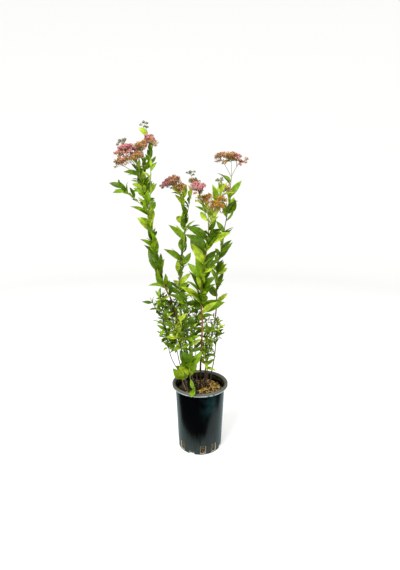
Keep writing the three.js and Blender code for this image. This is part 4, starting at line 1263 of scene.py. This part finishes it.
# ------------------------------------------------------------ leaves
STALK = 0.06                   # share of a leaf's length that is its stalk
BELLY = 0.46                   # where a blade is widest here, from its root
FILL = 0.85                    # power by which a blade grows from its stalk
SLIM = 0.8                     # its width to the source's, whose leaves are angular
HALF_LEAST = 0.45              # least half width of a blade
ARCH_LINE = (0.414, 0.45, 0.974)   # an arching midrib's rise, fall and reach
ROLL_BY = 0.3                  # how far leaves are turned about their length, radians
CURL, SICKLE, TWIST = 0.07, 0.05, 0.3   # usual seeded bends of a blade
BULGE = 0.06                   # how far each half of a blade swells, to its width
BIG_LEAF = 20                  # leaves longer than this have the finer outline
BIG_ROWS = (0, 0.06, 0.14, 0.26, 0.42, 0.58, 0.74, 0.88)
SMALL_ROWS = (0, 0.1, 0.3, 0.52, 0.76)
SMALL_THICK = 0.6              # thickness of a small blade to a big one's
TEETH = 0.07                   # how far a tooth steps out, to the half width
TOOTH_ROWS = np.linspace(0.16, 0.9, 9)
TOOTH_STEP = 0.012
RIB_ROWS = (0, 0.1, 0.34, 0.66, 0.95)
RIB_THICK = (0.62, 0.5, 0.36, 0.22, 0.08)   # radius there, on a leaf of the usual length
RIB_LEAF = 40
RIB_SUNK = 0.12


def outline(share):
    """Half a leaf's width at a share of its length: it grows as share^0.85 and narrows
    as a power of (1 - share), with 1 at its widest; a thin stalk comes before."""
    part = np.clip((share - STALK) / (1 - STALK), 0, 1)
    peak = (BELLY - STALK) / (1 - STALK)
    return (part / peak) ** FILL * ((1 - part) / (1 - peak)) ** (FILL * (1 - peak) / peak)


def leaf_table(leaves, seed=1):
    """The leaves' places as arrays, each leaf turned a little about its length, and with
    a seeded curl, sickle and twist."""
    roll = np.random.default_rng(seed)
    table = {key: np.array([getattr(leaf, key) for leaf in leaves], float)
             for key in ("root", "direction", "face", "long", "wide")}
    side = np.cross(table["direction"], table["face"])
    turn = roll.normal(0, ROLL_BY, (len(leaves), 1))
    table["side"] = side * np.cos(turn) - table["face"] * np.sin(turn)
    table["face"] = table["face"] * np.cos(turn) + side * np.sin(turn)
    for key, usual in (("curl", CURL), ("sickle", SICKLE), ("twist", TWIST)):
        table[key] = roll.normal(0, usual, len(leaves))
    return SimpleNamespace(**table)


def spine(table, shares):
    """The middle line of every leaf at shares of its length: an arch that rises 0.414
    and falls 0.45 of the share squared, curled and bent sideways a little."""
    share = np.asarray(shares)[None, :, None]
    long, curl, sickle = (part[:, None, None] for part in (table.long, table.curl, table.sickle))
    rise = ARCH_LINE[0] * share - (ARCH_LINE[1] - curl) * share ** 2
    return (table.root[:, None] + table.direction[:, None] * long * share * ARCH_LINE[2]
            + table.face[:, None] * long * rise
            + table.side[:, None] * long * share ** 2 * sickle)


def blades(leaves, rows, columns, thickness, teeth=0):
    """Leaf blades: at each share of the length a row of points across the top, folded
    up from the midrib with a swelling in each half, and one point below. The rows end
    in a tip. With teeth, every other row steps outwards."""
    table = leaf_table(leaves)
    rows = np.asarray(rows)
    middle = spine(table, np.append(rows, 1.0))
    slim = 1 if teeth else SLIM
    wide = np.maximum(outline(rows)[None] * table.wide[:, None] * slim / 2, HALF_LEAST)
    wide = wide * np.where(np.arange(len(rows)) % 2, 1 + teeth, 1 - teeth)
    place = np.linspace(-1, 1, columns)
    lift = 2 * FOLD * np.abs(place) + 2 * BULGE * np.sin(np.pi * np.abs(place))
    turn = (table.twist[:, None] * rows)[..., None, None]
    side = table.side[:, None, None] * np.cos(turn) + table.face[:, None, None] * np.sin(turn)
    up = table.face[:, None, None] * np.cos(turn) - table.side[:, None, None] * np.sin(turn)
    span = wide[:, :, None, None]
    top = (middle[:, :-1, None] + side * span * place[:, None] + up * span * lift[:, None])
    under = middle[:, :-1, None] - up * thickness
    rings = np.concatenate([top, under], axis=2).reshape(len(leaves), -1, 3)
    points = np.concatenate([rings, middle[:, -1:]], axis=1)
    return copies(points, ring_faces(len(rows), columns + 1, tip=True))


def ribs(leaves):
    """Leaf stalks and midribs: three-sided, tapering along each leaf's middle line and
    standing a little proud of both its faces."""
    table = leaf_table(leaves)
    turn = np.radians([90, 210, 330])[:, None]
    ring = (table.face[:, None] * np.sin(turn) - table.side[:, None] * np.cos(turn))[:, None]
    thick = (np.array(RIB_THICK)[None, :, None, None]
             * (table.long / RIB_LEAF)[:, None, None, None] ** 0.5)
    points = (spine(table, RIB_ROWS)[:, :, None] + ring * thick
              - table.face[:, None, None] * RIB_SUNK)
    return copies(points.reshape(len(leaves), -1, 3), ring_faces(len(RIB_ROWS), 3))


def deal_leaves(leaves, seed=11):
    """Deals the leaves out among the tints by the shares of the longest key that each
    one's mass starts with."""
    roll = np.random.default_rng(seed)
    dealt_out = {tint: [] for tint in LEAF_TINTS}
    for leaf in leaves:
        key = max((key for key in LEAF_MIX if leaf.shoot.mass.startswith(key)), key=len)
        shares = np.cumsum(LEAF_MIX[key])
        tint = LEAF_TINTS[int(np.searchsorted(shares, roll.uniform() * shares[-1]))]
        dealt_out[tint].append(leaf)
    return dealt_out


# ------------------------------------------------------------ flowers
UMBEL_PITCH = 3.8              # a cluster's radius for each square root of its umbels
UMBEL_FLOWERS = 9
UMBEL_BUDS = 12
UMBEL_OPENS = 1.75             # radians from the middle of an umbel's cap to its edge
UMBEL_SPAN = 0.82              # its radius, to the pitch of the umbels
UMBEL_STALK = 0.7              # how far below its middle it forks, to that radius
UMBELS_OUT = 0.98              # how far out the umbels reach, to the cluster's radius
UMBELS_ARCH = 0.85             # how much lower the outer ones stand, in a square root
UMBELS_SUNK = 0.4
UMBELS_UP = 1.1                # how far the umbels lean upwards
STRAY, FLOWER_STRAY = 0.16, 0.14   # usual seeded shifts of umbels and flowers
CLUSTER_FOOT = 0.75            # where a cluster forks below its middle, to its radius
PEDICEL = (0.17, 0.13)         # a flower stalk's radius at its foot and at the flower
BRANCH = (0.28, 0.2)           # the stalk of a small umbel
RAY = (0.6, 0.36)
SOME_BUDS = 0.1                # share of buds among open flowers
SOME_BROWN = 0.16              # share of dried ones among them
LOWER = 1.0                    # how far umbels hang below the head's top, to its radius
REST_FROM, REST_BY = 1.4, 1.6  # weight from which flowers have the rest's tint, less share
PETALS = 5
# Petals by tint: how far they are lifted, how wide, and how rough their skin is.
PETAL_KINDS = {"pink": (0.25, 0.36, 0.6), "dusty": (0.55, 0.36, 0.6),
               "gold": (0.95, 0.24, 0.85), "brown": (1.15, 0.24, 0.85)}
PETAL_CUP = 0.16


def turned(shape, count):
    """Copies of one small shape turned evenly round +Z."""
    cos, sin = np.cos(circle(count))[:, None], np.sin(circle(count))[:, None]
    x, y, z = shape[0].T
    points = np.stack([x * cos - y * sin, x * sin + y * cos,
                       np.broadcast_to(z, (count, len(z)))], axis=-1)
    return copies(points, shape[1])


def petal(wide, lift):
    """A petal as a thin bipyramid: root, two sides, tip, and a top and an underside. It
    leaves the middle at lift radians, and its sides and tip rise by its cup."""
    x, y, z = np.array([[0.1, 0, 0], [0.6, -wide, PETAL_CUP], [1, 0, PETAL_CUP * 1.3],
                        [0.6, wide, PETAL_CUP], [0.55, 0, 0.05], [0.55, 0, -0.04]]).T
    points = np.stack([x * math.cos(lift) - z * math.sin(lift), y,
                       x * math.sin(lift) + z * math.cos(lift)], axis=-1)
    edge = np.arange(4)
    ahead = (edge + 1) % 4
    return points, [np.stack([edge, ahead, np.full(4, 4)], axis=-1),
                    np.stack([ahead, edge, np.full(4, 5)], axis=-1)]


def dome(radius, height, sides=5):
    """A small dome: two rings and a top."""
    rings = revolved((radius, radius * 0.8), (-0.05, height * 0.6), sides)
    return np.vstack([rings.reshape(-1, 3), [[0, 0, height]]]), ring_faces(2, sides, tip=True)


def globe(sides=6):
    """A bud: a small ball, a little longer than wide."""
    rings = revolved((0.5, 1, 0.95, 0.45), (-0.9, -0.3, 0.4, 1), sides)
    return rings.reshape(-1, 3), ring_faces(4, sides)


def stamen():
    """One stamen: a three-sided thread that leans out and swells to a small knob."""
    rings = revolved((0.04, 0.03, 0.07), (0, 0.62, 0.72), 3)
    rings[..., 0] += np.array([0.12, 0.72, 0.82])[:, None]
    return rings.reshape(-1, 3), ring_faces(3, 3)


def flowers_of(cluster, roll):
    """The flowers of one cluster: small umbels on a golden-angle disc laid over its dome,
    each with its flowers on a golden-angle cap. Each flower has its place, the way it
    looks, its kind, and where its stalk and its umbel's ray start."""
    most, rest, share, side = HEADS[cluster.shoot.name]
    count = max(3, round((cluster.size / UMBEL_PITCH) ** 2))
    each = UMBEL_BUDS if most == "bud" else UMBEL_FLOWERS
    right, back = across(cluster.up)

    def disc(number, start):
        step = np.arange(number)
        out = np.sqrt((step + 0.5) / number)[:, None]
        way = np.radians(step * GOLDEN)[:, None] + start
        return out, right * np.cos(way) + back * np.sin(way)

    out, flat = disc(count, cluster.size * HEAD_TURN)
    high = np.sqrt(np.clip(1 - UMBELS_ARCH * out ** 2, 0, 1))
    size = cluster.size / math.sqrt(count) * UMBEL_SPAN
    middles = cluster.centre + cluster.size * (
        flat * out * UMBELS_OUT + cluster.up * (high * CLUSTER_DEPTH - UMBELS_SUNK)
        - cluster.up * LOWER * roll.uniform(0, 1, (count, 1)) ** 3
        + roll.normal(0, STRAY, (count, 3)))
    tips = unit(flat * out + cluster.up * UMBELS_UP)
    side = np.array([side[0], 0, side[1]])
    weight = (middles - cluster.centre) @ side / cluster.size + roll.uniform(0, 1.2, count)
    wide, _, clusters = cluster.shoot.head
    if clusters > 1:
        weight = weight + (cluster.centre - point_at(cluster.shoot, 1)) @ side / wide * 2
    bunches = []
    for middle, tip, heavy in zip(middles, tips, weight):
        span, around = disc(each, 6 * roll.uniform())
        tilt = span * UMBEL_OPENS
        ways = unit(tip * np.cos(tilt) + around * np.sin(tilt)
                    + roll.normal(0, FLOWER_STRAY, (each, 3)))
        places = middle + ways * size * roll.uniform(0.8, 1.15, (each, 1))
        turned_out = heavy + roll.uniform(-0.5, 0.5, each) > REST_FROM - REST_BY * share
        kinds = np.where(turned_out & (share > 0), rest, most)
        if most in OPEN_TINTS:
            other = roll.uniform(size=each)
            kinds = np.where(other < SOME_BUDS, "bud", kinds)
            kinds = np.where(other > 1 - SOME_BROWN, "brown", kinds)
        fork = np.broadcast_to(middle - tip * size * UMBEL_STALK, places.shape)
        bunches.append((places, ways, kinds, fork))
    places, ways, kinds, stalks = (np.concatenate(part) for part in zip(*bunches))
    base = cluster.centre - cluster.up * cluster.size * CLUSTER_FOOT
    return SimpleNamespace(places=places, ways=ways, kinds=kinds, stalks=stalks,
                           forks=middles - tips * size * UMBEL_STALK,
                           bases=np.broadcast_to(base, middles.shape))


# ------------------------------------------------------------ stage
# The floor's flat part, the radius of its bend and the height of its wall, in mm.
FLOOR_FLAT, FLOOR_BEND, FLOOR_WALL = 2600, 1500, 5200
AIM = (0, 0, 0.42)             # what the lights are turned to
SENSOR = 36

# A reflector card on the floor that shines only in the pot: how far from the axis its
# edge is, in mm, at turns from the front, in degrees.
CARD_TURNS = (0, 20, 40, 60, 90, 130, 180, 230, 270, 300, 320, 345, 360)
CARD_EDGE = (104, 118, 190, 250, 240, 420, 480, 420, 168, 138, 122, 106, 104)


def soft_light(name, place, across_m, watts):
    """A square area light at a place, turned towards the aim."""
    light = bpy.data.lights.new(name, "AREA")
    light.shape, light.size, light.energy = "SQUARE", across_m, watts
    lamp = new_object(name, light)
    lamp.location = place
    lamp.rotation_euler = (Vector(AIM) - Vector(place)).to_track_quat("-Z", "Y").to_euler()


def flat_mesh(name, points, faces):
    mesh = bpy.data.meshes.new(name)
    mesh.from_pydata(points.tolist(), [], faces)
    return mesh


def reflector_card(tint):
    """A flat card round the axis, from the middle out to its edge, that gives off a cold
    light: it shows in the pot's gloss as a haze and nowhere else."""
    turn = np.radians(np.arange(0, 361, 5))
    edge = np.interp(turn, np.radians(CARD_TURNS), CARD_EDGE) * MM
    points = np.concatenate([np.stack([np.sin(turn) * out, -np.cos(turn) * out, 0 * turn + MM],
                                      axis=-1) for out in (0 * edge, edge)])
    step = np.arange(len(turn) - 1)
    quads = np.stack([step, step + len(turn), step + len(turn) + 1, step + 1], axis=-1)
    finish, tree, _ = new_finish("white_reflector_card")
    node(tree, "OutputMaterial", {"Surface": node(tree, "Emission", {
        "Color": shade(tint), "Strength": 1.0})})
    card = new_object("haze_card", flat_mesh("haze_card", points, quads.tolist()), [finish])
    card.visible_camera = card.visible_diffuse = card.visible_shadow = False
    card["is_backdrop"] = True


def studio_floor(stage):
    """Painted floor, matt and faintly glowing, flat at first and then bent up all round
    by a quarter of a circle to a wall."""
    bend = np.radians(np.linspace(0, 90, 13))
    radii = [1, 400, 1200, *(FLOOR_FLAT + FLOOR_BEND * np.sin(bend)), FLOOR_FLAT + FLOOR_BEND]
    heights = [0, 0, 0, *(FLOOR_BEND * (1 - np.cos(bend))), FLOOR_WALL]
    points = revolved(radii, heights, 96).reshape(-1, 3) * MM
    quads, centre, _ = ring_faces(len(radii), 96)
    mesh = flat_mesh("floor", points, quads[:, ::-1].tolist() + centre[:, ::-1].tolist())
    mesh.shade_smooth()
    finish, tree, _ = new_finish("painted_studio_floor")
    end_finish(tree, {"Base Color": shade(stage.floor), "Roughness": 0.9,
                      "Emission Color": (1, 1, 1, 1), "Emission Strength": stage.glow})
    floor = new_object("floor", mesh, [finish])
    floor.visible_diffuse = floor.visible_glossy = False
    floor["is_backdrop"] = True


# ------------------------------------------------------------ operators
class SPIREA_OT_stage(bpy.types.Operator):
    """Pale floor that curves up all round, reflector card, soft lights and the camera"""
    bl_idname = "spirea.stage"
    bl_label = "Stage"

    def execute(self, context):
        stage = context.scene.spirea_stage
        studio_floor(stage)
        reflector_card(stage.card)
        world = bpy.data.worlds.new("white_surroundings")
        world.use_nodes = True
        sky = world.node_tree.nodes["Background"].inputs
        sky["Color"].default_value, sky["Strength"].default_value = (1, 1, 1, 1), stage.sky
        world.cycles_visibility.glossy = False
        context.scene.world = world
        soft_light("key", (-1.1, -1.5, 2.0), 1.4, stage.key)
        soft_light("fill", (1.7, -0.9, 1.2), 1.2, stage.fill)

        lens = bpy.data.cameras.new("camera")
        lens.lens, lens.sensor_width, lens.sensor_fit = stage.lens, SENSOR, "AUTO"
        camera = new_object("camera", lens)
        camera.location = (0, -stage.distance, stage.rise)
        camera.rotation_euler = (math.pi / 2 - stage.dip, 0, 0)
        context.scene.camera = camera
        context.scene.view_settings.view_transform = "Standard"
        return {"FINISHED"}


class SPIREA_OT_pot(bpy.types.Operator):
    """The moulded nursery pot, with its rolled rim and drainage slots"""
    bl_idname = "spirea.pot"
    bl_label = "Pot"

    def execute(self, context):
        pot = context.scene.spirea_pot
        surface, cut = pot_skin(pot)
        finishes = [moulded_plastic(pot, False), moulded_plastic(pot, True)]
        piece = make_piece("pot_shell", surface, finishes, ["pot"], sharp=38)
        piece.data.polygons.foreach_set("material_index", cut.astype(np.int32))
        bevel = piece.modifiers.new("rounded_edges", "BEVEL")
        bevel.width, bevel.segments = pot.edge, 2
        bevel.limit_method, bevel.angle_limit = "ANGLE", math.radians(45)
        bevel.material = 1         # the worn finish
        return {"FINISHED"}


class SPIREA_OT_soil(bpy.types.Operator):
    """The potting mix and the bark chips that lie on it"""
    bl_idname = "spirea.soil"
    bl_label = "Potting mix"

    def execute(self, context):
        soil = context.scene.spirea_soil
        make_piece("potting_mix", soil_bed(), [potting_mix(soil)], ["soil"], sharp=60)
        # Each kind's share of the chips, least and greatest width, and side.
        kinds = (("amber", 0.26, (0.3, 0.7), 1), ("straw", 0.3, (0.06, 0.14), 1),
                 ("umber", 0.24, (0.3, 0.7), 0.4), ("dark", 0.34, (0.3, 0.7), -1))
        for seed, (name, share, narrow, side) in enumerate(kinds, 30):
            tint = getattr(soil, name)
            finish = crumbled(f"{name}_bark_chip", tint, tint, (0, 1), 2.5, 0.8)
            chips = bark_chips(round(soil.chips * share), soil.chip / MM, narrow, side, seed)
            make_piece(f"{name}_chips", chips, [finish], sharp=30)
        return {"FINISHED"}


class SPIREA_OT_bark(bpy.types.Operator):
    """Canes and low twigs with their bark's relief"""
    bl_idname = "spirea.bark"
    bl_label = "Bark"

    def execute(self, context):
        look, plant = context.scene.spirea_bark, grow_plant()
        for tint, names in BARK_GROUPS.items():
            tubes = [bark_tube(plant.shoots[name], plant.shoots, look.ridge / MM, seed)
                     for seed, name in enumerate(names)]
            make_piece(f"{tint}_canes", join(tubes), [bark(tint, look, tint, CANE_RISE)],
                       names, sharp=60)
        return {"FINISHED"}


class SPIREA_OT_stems(bpy.types.Operator):
    """Leafy stems and twigs of every mass, in five tints"""
    bl_idname = "spirea.stems"
    bl_label = "Leafy stems"

    def execute(self, context):
        look, plant = context.scene.spirea_bark, grow_plant()
        leafy = [shoot for shoot in plant.shoots.values() if shoot.leaves or shoot.head]
        for tint in STEM_TINTS:
            group = [shoot for shoot in leafy if stem_tint(shoot) == tint]
            make_piece(f"{tint}_stems", join([leafy_tube(shoot, plant.shoots) for shoot in group]),
                       [bark(f"{tint}_stem", look, tint, STEM_RISE)],
                       sorted({shoot.mass for shoot in group}), sharp=60)
        return {"FINISHED"}


class SPIREA_OT_leaves(bpy.types.Operator):
    """Leaf blades in four greens, with their stalks and midribs"""
    bl_idname = "spirea.leaves"
    bl_label = "Leaves"

    def execute(self, context):
        look, plant = context.scene.spirea_leaves, grow_plant()
        thick = look.thickness / MM
        saw = np.sort(np.concatenate([[0, STALK], TOOTH_ROWS, TOOTH_ROWS + TOOTH_STEP]))
        for tint, leaves in deal_leaves(plant.leaves).items():
            toothed = [leaf for leaf in leaves if leaf.shoot.mass.startswith("basal")]
            plain = [leaf for leaf in leaves if not leaf.shoot.mass.startswith("basal")]
            big = [leaf for leaf in plain if leaf.long > BIG_LEAF]
            small = [leaf for leaf in plain if leaf.long <= BIG_LEAF]
            kinds = ((big, BIG_ROWS, 5, thick), (small, SMALL_ROWS, 3, thick * SMALL_THICK),
                     (toothed, saw, 3, thick, TEETH))
            make_piece(f"{tint}_leaves", join([blades(*kind) for kind in kinds if kind[0]]),
                       [leaf_cuticle(f"{tint}_leaf", getattr(look, tint))],
                       sorted({leaf.shoot.mass for leaf in leaves}), sharp=75)
        ribbed = [leaf for leaf in plant.leaves if leaf.long > BIG_LEAF]
        make_piece("leaf_ribs", ribs(ribbed), [leaf_cuticle("leaf_rib", look.rib)],
                   sorted({leaf.shoot.mass for leaf in ribbed}))
        return {"FINISHED"}


class SPIREA_OT_flowers(bpy.types.Operator):
    """Flower heads: open and faded flowers, buds, and the stalks that carry them"""
    bl_idname = "spirea.flowers"
    bl_label = "Flower heads"

    def execute(self, context):
        look, plant = context.scene.spirea_flowers, grow_plant()
        roll = np.random.default_rng(3)
        bunches = [flowers_of(cluster, roll) for cluster in plant.clusters]
        places, ways, kinds, stalks, forks, bases = (
            np.concatenate([getattr(bunch, key) for bunch in bunches])
            for key in ("places", "ways", "kinds", "stalks", "forks", "bases"))
        masses = sorted({cluster.shoot.mass for cluster in plant.clusters})
        spans = look.width / MM / 2 * roll.uniform(0.8, 1.15, len(places))
        spans[kinds == "bud"] = look.bud / MM / 2

        def scatter(name, shape, at, finish, seed, sharp=None):
            make_piece(name, planted(shape, places[at], ways[at], spans[at], seed), [finish],
                       masses, sharp)

        for tint, (lift, wide, rough) in PETAL_KINDS.items():
            scatter(f"{tint}_flowers", turned(petal(wide, lift), PETALS), kinds == tint,
                    petal_skin(f"{tint}_petal", getattr(look, tint), rough), 21, 50)
        scatter("buds", globe(), kinds == "bud", petal_skin("bud_scale", look.buds), 22)
        scatter("flower_eyes", dome(0.26, 0.24), kinds != "bud",
                petal_skin("flower_eye", look.eye), 23)
        scatter("stamens", turned(stamen(), PETALS), np.isin(kinds, OPEN_TINTS),
                petal_skin("stamen", look.stamen), 24)
        feet = np.array([cluster.foot for cluster in plant.clusters])
        tops = np.array([bunch.bases[0] for bunch in bunches])
        stalk = join([rods(stalks, places - ways * 0.2, *PEDICEL), rods(bases, forks, *BRANCH),
                      rods(feet, tops, *RAY, sides=6)])
        make_piece("flower_stalks", stalk, [bark("flower_stalk", look, "stalk", STALK_RISE)],
                   masses)
        return {"FINISHED"}


class SPIREA_PT_panel(bpy.types.Panel):
    """Lists the spirea's operators and settings in the sidebar"""
    bl_idname = "SPIREA_PT_panel"
    bl_label = "Spirea"
    bl_space_type = "VIEW_3D"
    bl_region_type = "UI"
    bl_category = "Spirea"

    def draw(self, context):
        for operator in OPERATORS:
            self.layout.operator(operator.bl_idname)
        for name, group in SETTINGS.items():
            box = self.layout.box()
            box.label(text=name.removeprefix("spirea_").title())
            for key in group.__annotations__:
                box.prop(getattr(context.scene, name), key)


OPERATORS = (SPIREA_OT_stage, SPIREA_OT_pot, SPIREA_OT_soil, SPIREA_OT_bark, SPIREA_OT_stems,
             SPIREA_OT_leaves, SPIREA_OT_flowers)
CLASSES = (*SETTINGS.values(), *OPERATORS, SPIREA_PT_panel)


def register():
    for made in CLASSES:
        bpy.utils.register_class(made)
    for name, group in SETTINGS.items():
        setattr(bpy.types.Scene, name, PointerProperty(type=group))


def unregister():
    for name in SETTINGS:
        delattr(bpy.types.Scene, name)
    for made in reversed(CLASSES):
        bpy.utils.unregister_class(made)


def main():
    """Registers the add-on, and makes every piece."""
    register()
    bpy.ops.spirea.stage()
    bpy.ops.spirea.pot()
    bpy.ops.spirea.soil()
    bpy.ops.spirea.bark()
    bpy.ops.spirea.stems()
    bpy.ops.spirea.leaves()
    bpy.ops.spirea.flowers()
    boxes = {name: [list(corner) for corner in box]
             for name, box in (("cad", CAD_BOX), ("visual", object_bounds()))}


if __name__ == "__main__":
    main()
